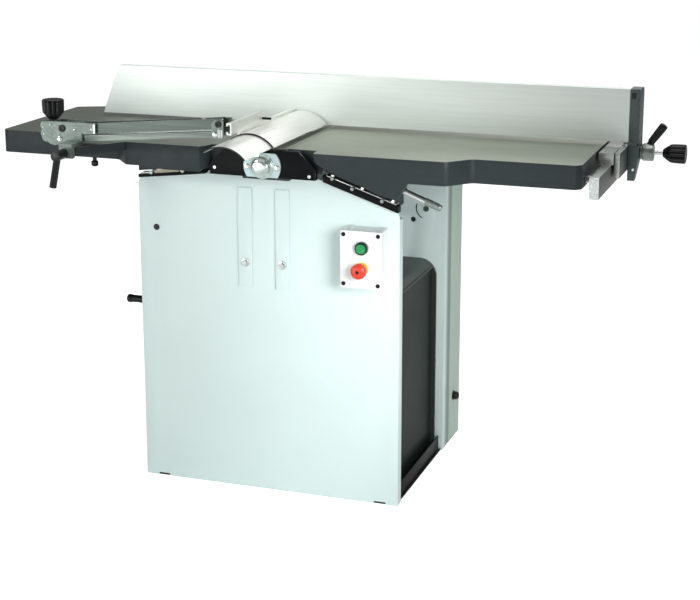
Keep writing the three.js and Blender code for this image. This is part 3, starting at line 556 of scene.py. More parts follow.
# The groove's floor gets a darker grey-green: painted shade in the seam beside the rear panel.
paint_faces(cover, SEAM_SHADE_PAINT, lambda centre, normal: normal.x > 0.9 and abs(centre.x - seam_floor) < 0.2)
screw_columns = (cover_low.x + COVER_SCREW_INSET, cover_high.x - COVER_SCREW_INSET)
cover_screws = [(x, cover_high.y - 0.1, z) for x in screw_columns for z in COVER_SCREW_ROWS]
extra(screws("drive_cover_screws", cover_screws, TO_BACK, 5, 2.5), "drive_cover", "black_plastic")

# The hood is an arch of sheet: its side walls are set in, and its two end rims stand at full width.
hood_low, hood_high = corners("lower_hood")
HOOD_CORNER = 45
HOOD_SHEET = 2.5
HOOD_RIM = 8.5
HOOD_SET_IN = 11
BEAD_Z = 501
COLUMN_HOLE_RADIUS = 57.5
CRANK_HOLE_RADIUS = 12


def hood_line(half, inset):
    """The hood's arch, cut off at a half width and inset from its outer face."""
    centre_x, centre_z = hood_high.x - HOOD_CORNER, hood_high.z - HOOD_CORNER
    radius = HOOD_CORNER - inset
    first = math.acos(min(1.0, (half - inset - centre_x) / radius))
    angles = [first + (math.pi / 2 - first) * k / 12 for k in range(13)]
    right = [(centre_x + radius * math.cos(a), centre_z + radius * math.sin(a)) for a in angles]
    left = [(-x, z) for x, z in reversed(right)]
    return [(half - inset, hood_low.z), *right, *left, (inset - half, hood_low.z)]


wall = hood_high.x - HOOD_SET_IN
bm = bmesh.new()
add_prism(bm, hood_line(wall, 0) + hood_line(wall, HOOD_SHEET)[::-1], "y", hood_low.y + 1, hood_high.y - 1)
for y in (hood_low.y, hood_high.y - HOOD_RIM):
    add_prism(bm, hood_line(hood_high.x, 0) + hood_line(wall, HOOD_SHEET)[::-1], "y", y, y + HOOD_RIM)
for side in (-1, 1):
    bead = [(-1, 3), (2.2, 2.4), (3, 0), (2.2, -2.4), (-1, -3)]
    bead = [(side * (wall + x), BEAD_Z + z) for x, z in bead]
    add_prism(bm, bead, "y", hood_low.y + HOOD_RIM, hood_high.y - HOOD_RIM)
bevel_sharp(bm, 0.8, angle=40)
hood = to_object("lower_hood_shell", bm)
crank_at = pivot("crank_turn")
column_hole = [(0, 480), (COLUMN_HOLE_RADIUS, 480), (COLUMN_HOLE_RADIUS, 540), (0, 540)]
column_hole = turned("column_hole", column_hole, (0, 0, 0), UP, 64)
crank_hole = [(0, -40), (CRANK_HOLE_RADIUS, -40), (CRANK_HOLE_RADIUS, 40), (0, 40)]
crank_hole = turned("crank_hole", crank_hole, (-wall, crank_at.y, crank_at.z), TO_RIGHT, 40)
dress(carved(hood, column_hole, crank_hole), "lower_hood")
# Painted light, chosen by the way each face looks: darker side walls as painted shade, lighter tops as a
# painted highlight, and a lighter front rim as a painted reflection.
paint_faces(hood, HOOD_WALL_SHADE_PAINT, lambda centre, normal: abs(normal.x) > 0.95)
paint_faces(hood, HOOD_TOP_HIGHLIGHT_PAINT, lambda centre, normal: normal.z > 0.3)
paint_faces(hood, HOOD_RIM_REFLECTION_PAINT, lambda centre, normal: centre.y < hood_low.y + 0.6 and normal.y < -0.9)
grommet = [(12.5, -1), (18, -1), (18, -3), (15, -4.5), (12.5, -3.5), (12.5, -1)]
grommet = turned("crank_grommet", grommet, (-wall, crank_at.y, crank_at.z), TO_RIGHT, 40)
extra(grommet, "lower_hood", "black_plastic")

for node in ("motor", "motor_pulley", "drive_belt", "lift_sleeve", "finger_rod"):
    refined(node)
for node in ("infeed_hinge_shaft", "outfeed_hinge_shaft", "front_bearing_housing", "rear_bearing_housing"):
    refined(node, bevel=1.0)

inlet = (corners("cable_inlet")[0].x, middle("cable_inlet").y, middle("cable_inlet").z)
nut = [(13, 0), (13, 1.5), (12.6, 2), (11, 2.2), (11, 8), (10, 11), (8, 15), (5, 15.6), (4.6, 12), (0, 12)]
dress(turned("cable_inlet_gland", soft_profile(nut, 0.6), inlet, TO_RIGHT), "cable_inlet")

# Accessory rails: flat plates held off the panel, each on one bolt.
for node in ("accessory_rail_left", "accessory_rail_right"):
    refined(node, bevel=0.8)
RAIL_BOLT_DEPTH, RAIL_BOLT_Z = 6.2, 579.5
rail_bolts = [
    (middle(rail).x, corners(rail)[0].y + RAIL_BOLT_DEPTH, RAIL_BOLT_Z)
    for rail in ("accessory_rail_left", "accessory_rail_right")
]
rail_bolts = bolts("accessory_rail_bolts", rail_bolts, TO_FRONT, 11, 5)
extra(rail_bolts, "accessory_rail_left", "steel_bright", PLATED)

# ---------------------------------------- control box
box_low, box_high = corners("control_box_base")
lid_low, lid_high = corners("control_box_lid")
FACE = lid_low.y + 10


def notched_outline(low, high, run=20, notch=1.6):
    """A rectangle whose four sides step in between its corners."""
    out = []
    turns = [(low.x, low.z, 1, 0), (high.x, low.z, 0, 1), (high.x, high.z, -1, 0), (low.x, high.z, 0, -1)]
    for (x, z, dx, dz), (nx, nz, _, _) in zip(turns, turns[1:] + turns[:1]):
        inward = (-dz * notch, dx * notch)
        out.append((x, z, 3))
        out.append((x + dx * run, z + dz * run))
        out.append((x + dx * (run + notch) + inward[0], z + dz * (run + notch) + inward[1]))
        out.append((nx - dx * (run + notch) + inward[0], nz - dz * (run + notch) + inward[1]))
        out.append((nx - dx * run, nz - dz * run))
    return out


base = prism("control_box_tray", notched_outline(box_low, box_high), "y", box_low.y, box_high.y, bevel=0.4)
dress(base, "control_box_base")
plate = rectangle(lid_low.x, lid_high.x, lid_low.z, lid_high.z, 4)
dress(prism("control_box_cover", plate, "y", FACE, lid_high.y, bevel=1.8, segments=3), "control_box_lid")
screw_columns, screw_rows = (lid_low.x + 8, lid_high.x - 8), (lid_low.z + 9.5, lid_high.z - 9)
corner_screws = [(x, FACE, z) for x in screw_columns for z in screw_rows]
rings = bmesh.new()
ring = [(7.6, -0.5), (7.4, 0.9), (6.8, 1.2), (5.4, 1.2), (5.2, 0.2), (0, 0.2)]
for place in corner_screws:
    add_turned(rings, ring, place, TO_FRONT, 32)
extra(to_object("control_box_screw_rings", rings), "control_box_lid")
extra(screws("control_box_screws", corner_screws, TO_FRONT, 5, 2.2), "control_box_lid", "black_plastic")

start, stop = middle("start_button"), middle("stop_button")


def on_box(name, profile, centre, round_off=0.5, round_steps=3, sides=48):
    """A turned piece that stands out of the box's face at a button's centre."""
    return turned(
        name, soft_profile(profile, round_off, round_steps), (centre.x, FACE, centre.z), TO_FRONT, sides
    )


bezel = [(15.5, -1), (15.5, 8), (14.8, 10), (13.2, 10.2), (12.4, 9.4), (12.4, -1)]
extra(on_box("start_bezel", bezel, start), "control_box_lid", "black_plastic")
cap = [(0, -4), (11.6, -4), (11.6, 11.2), (10.8, 11.9), (7, 11.6), (0, 11.4)]
dress(on_box("start_cap", cap, start), "start_button")
collar = [(15.4, -1), (15.4, 2.6), (14.6, 3.8), (12.2, 3.8), (12, -1)]
extra(on_box("stop_collar", collar, stop), "control_box_lid", "box_plastic", YELLOW)
mushroom = [(0, -4), (10.5, -4), (10.5, 13), (12, 16), (17.6, 17.2), (18.5, 19.5)]
mushroom += [(18.5, 27), (17.4, 31), (13.6, 34), (7, 35), (0, 35)]
dress(on_box("stop_mushroom", mushroom, stop, 1.5, 4, 64), "stop_button")
dot = [(4, 34.4), (4, 35.3), (3.4, 35.7), (0, 35.7)]
extra(turned("stop_dot", dot, (stop.x, FACE, stop.z), TO_FRONT, 32), "stop_button", "black_plastic")

# ---------------------------------------- cutter, feed and lift
for node in ("cutter_block", "cutter_knife_1", "cutter_knife_2", "cutter_knife_3", "cutter_pulley"):
    refined(node, bevel=0.3)
for node in ("toothed_feed_roller", "smooth_feed_roller", "anti_kickback_fingers"):
    refined(node, bevel=0.3)
for node in ("lift_column", "lift_screw"):
    refined(node)
planing_table = refined("thickness_table", bevel=1.2)
table_top = corners("thickness_table")[1].z
paint_faces(planing_table, TABLE_TOP, lambda centre, normal: centre.z > table_top - 1 and normal.z > 0.9)
refined("height_crank", bevel=0.8)
grip_at = (corners("crank_grip")[0].x, middle("crank_grip").y, middle("crank_grip").z)
grip = [(0, 0), (8.5, 0), (10.5, 2.5), (10.5, 8), (9.4, 16)]
grip += [(9.2, 30), (9.8, 40), (9.2, 46), (7.5, 48.2), (0, 48.2)]
dress(turned("crank_grip_sleeve", soft_profile(grip, 1.5, 4), grip_at, TO_RIGHT), "crank_grip")

# ---------------------------------------- cutterhead cover and bearing cap
shield = refined("cutterhead_cover", bevel=0.9)
# The faces that look to the front and right get the bright plated steel as a painted highlight.
paint_faces(shield, PLATED, lambda centre, normal: normal.y < -0.3 and normal.x > 0.35)
plate_low, plate_high = corners("cutterhead_cover")
right_screw = (plate_high.x - 14, plate_low.y, plate_low.z + 9)
left_screw = (plate_low.x + 13, plate_low.y, plate_low.z + 17)
plate_screws = screws("cutterhead_cover_screws", [right_screw, left_screw], TO_FRONT, 4, 2.6)
extra(plate_screws, "cutterhead_cover", "steel_bright", PLATED)

cap_low, cap_high = corners("bearing_cap")
spindle = Vector((18, 0, 830))
flange_r = (cap_high.x - cap_low.x) / 2
FLANGE = 4.5
FLANGE_BOTTOM, FLANGE_TOP = 804, 861


def clipped_circle(radius, low, high):
    """A circle about the spindle with its top and bottom cut level."""
    out = []
    steps = 72
    for k in range(steps):
        angle = TAU * k / steps
        z = spindle.z + radius * math.sin(angle)
        out.append((spindle.x + radius * math.cos(angle), min(max(z, low), high)))
    return out


flange = clipped_circle(flange_r, FLANGE_BOTTOM, FLANGE_TOP)
flange = prism("bearing_cap_flange", flange, "y", cap_high.y - FLANGE, cap_high.y, 0.6, angle=20)
dress(flange, "bearing_cap", material=BLUED_PLATE)
dome = [(30, 0), (29, 2.2), (25, 3.2), (24, 4.2), (23.4, 9)]
dome += [(22, 13), (18.5, 16.6), (12, 18.3), (5, 18.7), (0, 18.7)]
dome_base = (spindle.x, cap_high.y - FLANGE + 0.2, spindle.z)
dome_piece = turned("bearing_cap_dome", soft_profile(dome, 1.2, 4), dome_base, TO_FRONT, 64)
extra(dome_piece, "bearing_cap", material=POLISHED)
cap_screws = [(spindle.x + side * 37, cap_high.y - FLANGE, spindle.z - 2) for side in (-1, 1)]
extra(bolts("bearing_cap_screws", cap_screws, TO_FRONT, 8, 3.5), "bearing_cap", "steel_bright", PLATED)

# ---------------------------------------- tables
# The outfeed top gets the darker copy of the machined top, as painted shade.
for node, surface in (("infeed_table", TABLE_TOP), ("outfeed_table", OUTFEED_TOP_SHADE)):
    table = refined(node, bevel=1.6)
    top = corners(node)[1].z
    paint_faces(table, surface, lambda centre, normal: centre.z > top - 1 and normal.z > 0.9)
foot = [(0, 0), (5, 0), (5, 10), (8.5, 12), (8.5, 21), (6, 24), (0, 24.5)]
foot = turned("outfeed_stop_button", soft_profile(foot, 1), (-442, -214, 816.5), DOWN, 32)
extra(foot, "outfeed_table", "black_plastic")
COMB_PITCH, COMB_SLOT, COMB_DEPTH = 18, 6.5, 21


def comb_lip(node, toward):
    """A hardened lip with a comb of slots on its cutter side; toward is +1 or -1 along X."""
    low, high = corners(node)
    tip = high.x if toward > 0 else low.x
    root = low.x if toward > 0 else high.x
    outline = [(root, low.y), (tip, low.y)]
    count = int((high.y - low.y) // COMB_PITCH)
    first = (low.y + high.y - (count - 1) * COMB_PITCH) / 2
    for k in range(count):
        y = first + k * COMB_PITCH
        inner = tip - toward * COMB_DEPTH
        outline += [(tip, y - COMB_SLOT / 2), (inner, y - COMB_SLOT / 2, 2.5)]
        outline += [(inner, y + COMB_SLOT / 2, 2.5), (tip, y + COMB_SLOT / 2)]
    outline += [(tip, high.y), (root, high.y)]
    lip = prism(node + "_comb", outline, "z", low.z, high.z, bevel=0.4, steps=4, angle=50)
    return dress(lip, node, material=LIP_STEEL)


comb_lip("infeed_lip", -1)
comb_lip("outfeed_lip", 1)
for node in ("infeed_gib", "outfeed_gib"):
    refined(node, bevel=0.5)
for node in ("infeed_slideway", "outfeed_slideway"):
    refined(node, bevel=0.8)
WAY_BOLTS = {
    "infeed": [(174, 801.5), (223, 780.5), (295.5, 756.5)],
    "outfeed": [(-290.5, 786.5), (-207.5, 795.5)],
}
way_front = corners("infeed_slideway")[0].y + 0.1
for side, places in WAY_BOLTS.items():
    places = [(x, way_front, z) for x, z in places]
    way_bolts = bolts(side + "_way_bolts", places, TO_FRONT, 8.5, 4, washer=False)
    # The slideway bolts get the darker bolt steel, as painted shade.
    extra(way_bolts, side + "_slideway", material=WAY_BOLT_STEEL)
strip = [(-282, 785.5), (-218, 792.9), (-218, 800.4), (-282, 793)]
strip = prism("outfeed_way_strip", strip, "y", -213.4, -211.4, 0.3)
extra(strip, "outfeed_slideway", "steel_bright", BRONZE_STRIP)

# ---------------------------------------- depth lever
lever = pivot("depth_lever_turn")
lever_high = corners("depth_lever")[1]
lever_end = Vector((lever_high.x - 2, lever.y, corners("depth_lever")[0].z + 6))
LEVER_AXIS = (lever_end - lever).normalized()
reach = (lever_end - lever).length
rod = bmesh.new()
eye = [(4.4, -7), (8.4, -7), (9, -6), (9, 6), (8.4, 7), (4.4, 7), (4.4, -7)]
add_turned(rod, eye, lever, TO_BACK, 40)
add_turned(rod, [(0, 6), (6.8, 6), (6.8, reach - 40), (0, reach - 39)], lever, LEVER_AXIS, 32)
dress(to_object("depth_lever_rod", rod), "depth_lever", material=PLATED)
KNURLS = 26


def knurl(angle, height):
    """Diamond knurling: two crossing helices of ridges."""
    twist = height * 0.9
    ridge = abs(math.sin(KNURLS / 2 * angle + twist)) * abs(math.sin(KNURLS / 2 * angle - twist))
    return 0.93 + 0.07 * (1 - ridge)


grip_rings = [(0, reach - 42), (6, reach - 42), (7.8, reach - 40.5)]
grip_rings += [(8, reach - 40 + k * 0.7) for k in range(51)]
grip_rings += [(7, reach - 2.5), (5.4, reach - 1), (0, reach - 1)]


def knurled_middle(angle, height):
    return knurl(angle, height) if reach - 40 <= height <= reach - 4.9 else 1


knurled = turned("depth_lever_grip", grip_rings, lever, LEVER_AXIS, 104, knurled_middle, 60)
extra(knurled, "depth_lever", "steel_bright", BRIGHT_CAST)

# ---------------------------------------- fence
refined("fence_plate", bevel=0.4, material=FENCE_FACE)
guide = refined("fence_guide_bar", bevel=0.8)
guide_front = corners("fence_guide_bar")[0].y
paint_faces(guide, SAWN_END, lambda centre, normal: centre.y < guide_front + 1 and normal.y < -0.9)
paint_faces(guide, SAWN_SIDE, lambda centre, normal: normal.x > 0.9)
carriage = refined("fence_carriage", bevel=0.8)
PAINTED_FROM_X = 811
paint_faces(carriage, LOOK["bracket_grey"], lambda centre, normal: centre.x > PAINTED_FROM_X)
refined("fence_end_bracket", bevel=1.6)
bracket_low, bracket_high = corners("fence_end_bracket")
window = block("bracket_window", (816.4, 66.9, 980.5), (825.6, 75.6, 993.5), 0.3)
extra(window, "fence_end_bracket", "black_plastic")
face_screw = screws("bracket_face_screws", [(825, bracket_low.y, 812)], TO_FRONT, 3.2, 1.6)
extra(face_screw, "fence_end_bracket", "steel_bright", PLATED)
side_screws = [(bracket_high.x - 0.2, 112, z) for z in (905, 955)]
side_screws = screws("bracket_side_screws", side_screws, TO_RIGHT, 4, 1.8)
extra(side_screws, "fence_end_bracket", "steel_bright", PLATED)

lock = pivot("fence_lock_turn")
hub_at = (corners("fence_lock_lever")[0].x, lock.y, lock.z)
hub = [(5.5, 0), (17, 0), (18, 1), (18, 5), (18.6, 6), (20.4, 6.2), (21, 7)]
hub += [(21, 29), (20, 30.5), (14, 30.5), (12, 29.6), (5.5, 29.6), (5.5, 0)]
hub = turned("fence_lock_hub", soft_profile(hub, 0.6), hub_at, TO_RIGHT, 64)
dress(hub, "fence_lock_lever", material=BRIGHT_CAST)
lever_foot = Vector((854, lock.y, lock.z + 16))
lever_tip = Vector((889, lock.y, lock.z + 65))
lever_dir = (lever_tip - lever_foot).normalized()


def fluted(count, depth, start, end):
    """Rounded grooves round a grip between two heights."""
    def shape(angle, height):
        if not start <= height <= end:
            return 1
        return 1 - depth * (0.5 - 0.5 * math.cos(count * angle)) ** 2
    return shape


stem = [(0, 0), (6.5, 0), (6.5, 8), (8.2, 9.5), (8.6, 12)]
stem += [(9.9, 50), (9.9, 58), (8.8, 61.5), (5, 62.6), (0, 62.8)]
stem_flutes = fluted(8, 0.12, 10, 60)
stem = turned("fence_lock_grip", soft_profile(stem, 1.0), lever_foot, lever_dir, 80, stem_flutes)
extra(stem, "fence_lock_lever", "black_plastic")

knob_low, knob_high = corners("fence_clamp_knob")
rod = [(0, 0), (5, 0), (5, 92), (0, 92)]
rod = turned("fence_clamp_rod", rod, (knob_low.x, lock.y, lock.z), TO_RIGHT, 32)
dress(rod, "fence_clamp_knob", material=PLATED)


def star_knob(name, base, axis, radius, height):
    """A fluted knob that narrows to a collar where its rod goes in."""
    shape = [(0, 0), (0.4, 0), (0.46, 0.04), (0.62, 0.13), (0.78, 0.23), (0.93, 0.33), (0.97, 0.4), (1, 0.7)]
    shape += [(1, 0.94), (0.95, 0.985), (0.84, 1), (0.74, 0.975), (0, 0.965)]
    profile = [(r * radius, h * height) for r, h in shape]
    flutes = fluted(12, 0.17, 0.1 * height, 0.97 * height)
    return turned(name, soft_profile(profile, 1.2, 3), base, axis, 96, flutes)


CLAMP_KNOB_LENGTH = 54
knob_base = (knob_high.x - CLAMP_KNOB_LENGTH, lock.y, lock.z)
extra(star_knob("fence_clamp_star", knob_base, TO_RIGHT, 23, CLAMP_KNOB_LENGTH), "fence_clamp_knob")

# ---------------------------------------- bridge guard
refined("guard_bracket", bevel=0.9, material=BRACKET_CAST)
BRACKET_FACE = -351.9
dark_screw = screws("bracket_clamp_screw", [(-450.5, BRACKET_FACE, 908)], TO_FRONT, 8.6, 3)
extra(dark_screw, "guard_bracket", "black_plastic")
silver_bolt = bolts("bracket_stop_bolt", [(-458.4, BRACKET_FACE, 882)], TO_FRONT, 7, 3)
extra(silver_bolt, "guard_bracket", "steel_bright", PLATED)
lip = block("bracket_end_lip", (-368.8, BRACKET_FACE - 1.2, 900.5), (-364.2, BRACKET_FACE + 0.4, 921), 0.5)
extra(lip, "guard_bracket", material=PLATED)
rivets = bmesh.new()
RIVETS = [(-418.8, 905.6, 3.4), (-373.5, 908.4, 3.4)]
RIVETS += [(-501.5, 908, 2), (-499.5, 891.7, 2), (-482.4, 913.8, 2)]
for x, z, radius in RIVETS:
    head = [(radius, -0.2), (radius * 0.9, 0.8), (radius * 0.6, 1.4), (0, 1.6)]
    add_turned(rivets, head, (x, BRACKET_FACE, z), TO_FRONT, 24)
extra(to_object("bracket_rivets", rivets), "guard_bracket", "steel_bright", PLATED)

height_low, height_high = corners("guard_height_knob")
height_at = middle("guard_height_knob")
height_base = (height_at.x, height_at.y, height_low.z + 1.5)
star = star_knob("guard_height_star", height_base, UP, 26, height_high.z - height_base[2])
dress(star, "guard_height_knob")
refined("guard_clamp_lever", bevel=1.5)
lower_arm = refined("guard_arm_lower", bevel=1.2, material=ARM_STEEL)
# The faces that look up get the bright plated steel as a painted highlight.
paint_faces(lower_arm, PLATED, lambda centre, normal: normal.z > 0.6)

# The upper arm is a channel that is open at the top, between the same two pivots as the CAD bar.
ARM_PIVOT = pivot("guard_upper_swing")
ARM_END = pivot("guard_head_level") + Vector((8, 0, 24))
ARM_ALONG = (ARM_END - ARM_PIVOT).normalized()
ARM_LENGTH = (ARM_END - ARM_PIVOT).length
ARM_HALF, ARM_OVERHANG, ARM_BORE = 12, 11, 4.4
arm_low, arm_high = corners("guard_arm_upper")


def along_arm(run, rise, radius=0):
    """A point at a distance along the upper arm and above its centre line."""
    x = ARM_PIVOT.x + ARM_ALONG.x * run - ARM_ALONG.z * rise
    z = ARM_PIVOT.z + ARM_ALONG.z * run + ARM_ALONG.x * rise
    return (x, z, radius)


def arm_strip(low, high, radius):
    """An outline along the whole arm between two heights."""
    first, last = -ARM_OVERHANG, ARM_LENGTH + ARM_OVERHANG
    ends = ((first, low), (last, low), (last, high), (first, high))
    return [along_arm(run, rise, radius) for run, rise in ends]


channel = bmesh.new()
add_prism(channel, arm_strip(-ARM_HALF, ARM_HALF, 5), "y", arm_low.y, arm_low.y + 4)
add_prism(channel, arm_strip(-ARM_HALF, ARM_HALF, 5), "y", arm_high.y - 4, arm_high.y)
add_prism(channel, arm_strip(-ARM_HALF + 0.5, -ARM_HALF + 4, 0), "y", arm_low.y + 2, arm_high.y - 2)
bevel_sharp(channel, 0.8)
channel = to_object("guard_arm_channel", channel)
bore = [(0, -20), (ARM_BORE, -20), (ARM_BORE, 20), (0, 20)]
middle_y = (arm_low.y + arm_high.y) / 2
bores = [turned("bore", bore, (end.x, middle_y, end.z), TO_BACK, 32) for end in (ARM_PIVOT, ARM_END)]
dress(carved(channel, *bores), "guard_arm_upper", material=DARK_STEEL)
# The faces that look up get the bright plated steel as a painted highlight.
paint_faces(channel, PLATED, lambda centre, normal: normal.z > 0.6)
PEG_RUN = 372
peg_x, peg_z, _ = along_arm(PEG_RUN, ARM_HALF)
peg_low = (peg_x - 4.5, arm_high.y - 4.6, peg_z - 7)
peg_high = (peg_x + 4.5, arm_high.y - 0.1, peg_z + 3)
peg = block("guard_arm_peg", peg_low, peg_high, 1)
extra(peg, "guard_arm_upper", "alu_satin")

# The head: a cheek with the two pins that the arms turn on, and a rail of C section over the guard.
head_low, head_high = corners("guard_head")
rail = [(-34, 914), (-22, 914), (-22, 941), (-34, 941), (-34, 934), (-31, 934)]
rail += [(-31, 938), (-25, 938), (-25, 917), (-31, 917), (-31, 921), (-34, 921)]
rail = prism("guard_rail", rail, "y", head_low.y + 1, head_high.y, 0.4)
dress(rail, "guard_head")
cheek = [(-72, 907, 5), (-33, 907, 2), (-33, 950, 2), (-56, 950, 4), (-72, 930, 5)]
extra(prism("guard_head_cheek", cheek, "y", -316.5, -311, 0.8), "guard_head", material=BRACKET_CAST)
LOWER_PIN = pivot("guard_head_level")
HEAD_FACE = head_low.y - 3.2
front_cheek = [(-69, 905, 5), (-40, 905, 2), (-40, 947, 3), (-62, 947, 4), (-69, 938, 4)]
front_cheek = prism("guard_head_front", front_cheek, "y", HEAD_FACE, head_low.y - 0.4, 0.8)
extra(front_cheek, "guard_head", material=BRACKET_CAST)
pins = bmesh.new()
for end, radius in ((LOWER_PIN, 4), (ARM_END, 3)):
    pin = [(0, -1), (radius, -1), (radius, 34), (0, 34)]
    add_turned(pins, pin, (end.x, head_low.y, end.z), TO_BACK, 32)
extra(to_object("guard_head_pins", pins), "guard_head", "steel_bright", PLATED)
nose = [(7.2, -0.6), (7.6, 1.5), (6.8, 3.2), (4, 4), (0, 4.2)]
nut = turned("lower_pin_nut", nose, (LOWER_PIN.x, HEAD_FACE + 0.5, LOWER_PIN.z), TO_FRONT, 6)
extra(nut, "guard_head", "steel_bright", PLATED)
dark_screw = screws("upper_pin_screw", [(ARM_END.x, HEAD_FACE + 0.5, ARM_END.z)], TO_FRONT, 7.5, 4.4)
extra(dark_screw, "guard_head", "black_plastic")
ribs = bmesh.new()
for x in (-53, -48.5, -44):
    add_prism(ribs, rectangle(x, x + 1.8, 907.5, 926, 0.8), "y", HEAD_FACE - 1.2, HEAD_FACE + 0.5)
extra(to_object("guard_head_ribs", ribs), "guard_head", "alu_satin")
stop_pin = [(0, 0), (3, 0), (3, 22), (2.2, 23), (0, 23)]
stop_pin = turned("guard_rail_pin", stop_pin, (-23, head_high.y - 6, 924), TO_RIGHT, 24)
extra(stop_pin, "guard_head", "black_plastic")

ARCH_LEFT, ARCH_RIGHT = Vector((-50, 895)), Vector((60, 881))
ARCH_RISE, ARCH_SKIN, ARCH_GAP = 23, 3, 0.8
ARCH_STEPS = 40


def arch_line(inset, share=1.0):
    """A line along the guard's arch, inset from its outer face."""
    chord = (ARCH_RIGHT - ARCH_LEFT).length
    radius = (chord ** 2 / 4 + ARCH_RISE ** 2) / (2 * ARCH_RISE)
    tilt = math.atan2(ARCH_RIGHT.y - ARCH_LEFT.y, ARCH_RIGHT.x - ARCH_LEFT.x)
    drop = radius - ARCH_RISE
    centre = (ARCH_LEFT + ARCH_RIGHT) / 2 + Vector((math.sin(tilt), -math.cos(tilt))) * drop
    spread = math.asin(chord / 2 / radius) * share
    angles = [math.pi / 2 + tilt + spread * (1 - 2 * k / ARCH_STEPS) for k in range(ARCH_STEPS + 1)]
    r = radius - inset
    return [(centre.x + r * math.cos(a), centre.y + r * math.sin(a)) for a in angles]


def arch_band(outer, inner, share=1.0):
    """A strip of the guard's section between two insets."""
    return arch_line(outer, share) + arch_line(inner, share)[::-1]


# The inner sheet slides under the outer one, and both have a dark trim on the front edge.
TRIM = 1.6
INNER_SHARE = 0.96
outer_low, outer_high = corners("guard_outer")
inner_low, inner_high = corners("guard_inner")
sheet = bmesh.new()
add_prism(sheet, arch_band(0, ARCH_SKIN), "y", outer_low.y, outer_high.y)
bevel_sharp(sheet, 0.8, angle=40)
dress(to_object("guard_outer_sheet", sheet), "guard_outer")
trim = bmesh.new()
add_prism(trim, arch_band(0.4, ARCH_SKIN - 0.1, 0.99), "y", outer_low.y - TRIM, outer_low.y)
extra(to_object("guard_outer_edge_trim", trim), "guard_outer", "black_plastic")
ridge = bmesh.new()
RIDGE_STEPS = slice(22, 26)
ridge_outline = arch_line(-1.2, 0.94)[RIDGE_STEPS] + arch_line(0.2, 0.94)[RIDGE_STEPS][::-1]
add_prism(ridge, ridge_outline, "y", outer_low.y + 12, outer_low.y + 112)
bevel_sharp(ridge, 0.4, angle=60)
extra(to_object("guard_outer_strip", ridge), "guard_outer")
slider = block("guard_slider", (-31.5, outer_low.y + 2, 904.6), (-24.5, outer_high.y - 2, 915.4), 0.6)
extra(slider, "guard_outer")
inset = ARCH_SKIN + ARCH_GAP
inner_band = arch_band(inset, inset + ARCH_SKIN, INNER_SHARE)
sheet = bmesh.new()
add_prism(sheet, inner_band, "y", inner_low.y + TRIM, inner_high.y)
bevel_sharp(sheet, 0.8, angle=40)
dress(to_object("guard_inner_sheet", sheet), "guard_inner")
trim = bmesh.new()
add_prism(trim, inner_band, "y", inner_low.y, inner_low.y + TRIM)
extra(to_object("guard_inner_edge_trim", trim), "guard_inner", "black_plastic")


# ---------------------------------------- floor, light and camera
def area_light(name, place, target, size, watts, spread=180):
    """A soft box at a place in metres, turned towards a point, with its spread in degrees."""
    data = bpy.data.lights.new(name, "AREA")
    data.spread = math.radians(spread)
    data.shape = "RECTANGLE"
    data.size, data.size_y = size
    data.energy = watts
    lamp = bpy.data.objects.new(name, data)
    lamp.visible_camera = False
    lamp.location = place
    lamp.rotation_euler = (Vector(target) - Vector(place)).to_track_quat("-Z", "Y").to_euler()
    bpy.context.scene.collection.objects.link(lamp)


FLOOR_HALF_SIDE = 9000
FLOOR_GLOW_SEEN, FLOOR_GLOW_ON_OBJECT = 0.82, 0.25
ROOM_LIGHT = 0.22


def studio_floor():
    """A white floor that stands for the sweep under and behind the machine."""
    bm = bmesh.new()
    bmesh.ops.create_grid(bm, x_segments=8, y_segments=8, size=FLOOR_HALF_SIDE)
    floor = to_object("studio_floor", bm)
    floor.location.z = -0.0005
    material = new_material("studio_floor_paint", (0.9, 0.9, 0.9), 0.6)
    cloud = add_noise(material, 0.8)
    vary_color(material, cloud, (0.88, 0.88, 0.88), (0.92, 0.92, 0.92))
    nodes, links = material.node_tree.nodes, material.node_tree.links
    shader = nodes["Principled BSDF"]
    shader.inputs["Emission Color"].default_value = (1, 1, 1, 1)
    seen = nodes.new("ShaderNodeLightPath")
    glow = nodes.new("ShaderNodeMapRange")
    glow.inputs["To Min"].default_value = FLOOR_GLOW_ON_OBJECT
    glow.inputs["To Max"].default_value = FLOOR_GLOW_SEEN
    links.new(seen.outputs["Is Camera Ray"], glow.inputs["Value"])
    links.new(glow.outputs["Result"], shader.inputs["Emission Strength"])
    floor.data.materials.append(material)


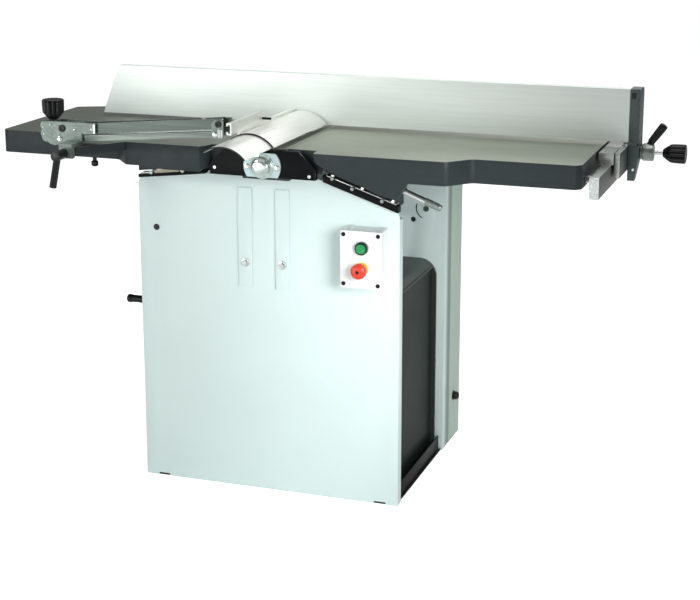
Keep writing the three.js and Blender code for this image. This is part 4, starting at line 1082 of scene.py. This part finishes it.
def studio_world():
    """A white backdrop for the camera, and a dimmer even light on everything else."""
    world = bpy.data.worlds.new("studio")
    world.use_nodes = True
    nodes, links = world.node_tree.nodes, world.node_tree.links
    room = nodes["Background"]
    room.inputs["Color"].default_value = (1, 1, 1, 1)
    room.inputs["Strength"].default_value = ROOM_LIGHT
    backdrop = nodes.new("ShaderNodeBackground")
    backdrop.inputs["Color"].default_value = (1, 1, 1, 1)
    seen = nodes.new("ShaderNodeLightPath")
    either = nodes.new("ShaderNodeMixShader")
    links.new(seen.outputs["Is Camera Ray"], either.inputs["Fac"])
    links.new(room.outputs["Background"], either.inputs[1])
    links.new(backdrop.outputs["Background"], either.inputs[2])
    links.new(either.outputs["Shader"], nodes["World Output"].inputs["Surface"])
    bpy.context.scene.world = world


studio_floor()
studio_world()
area_light("top_light", (0.2, 0.3, 3.6), (0, 0, 0), (3.4, 2.6), 66)
area_light("key_light", (1.0, -1.05, 0.85), (0.26, -0.2, 0.45), (0.5, 0.5), 1.9, spread=62)
area_light("fence_light", (-1.4, -1.8, 1.75), (-0.2, 0.07, 1.15), (0.5, 0.5), 1.1, spread=36)
area_light("left_light", (-2.6, -3.7, 0.5), (-0.4, 0, 0.9), (1.9, 1.1), 26)
area_light("low_light", (-0.5, -4.0, 0.4), (0, 0, 0.9), (2.4, 0.7), 9)
area_light("back_light", (0.5, 3.4, 2.6), (0, 0, 0.6), (3.0, 1.6), 20)

scene = bpy.context.scene
scene.view_settings.view_transform = "Standard"
scene.view_settings.look = "None"

# The camera is worked out from the photo's perspective. Its angles are in degrees.
CAMERA_AT, CAMERA_DOWN, CAMERA_YAW = (1395.6, -3634.6, 1541.6), 13.86, 19.0
CAMERA_LENS, CAMERA_SENSOR, CAMERA_SHIFT = 81.99, 36, -0.08
lens = bpy.data.cameras.new("photo_camera")
lens.sensor_width = CAMERA_SENSOR
lens.lens = CAMERA_LENS
lens.shift_y = CAMERA_SHIFT
lens.clip_end = 60
camera = bpy.data.objects.new("photo_camera", lens)
camera.location = Vector(CAMERA_AT) * MM
camera.rotation_euler = (math.radians(90 - CAMERA_DOWN), 0, math.radians(CAMERA_YAW))
scene.collection.objects.link(camera)
scene.camera = camera
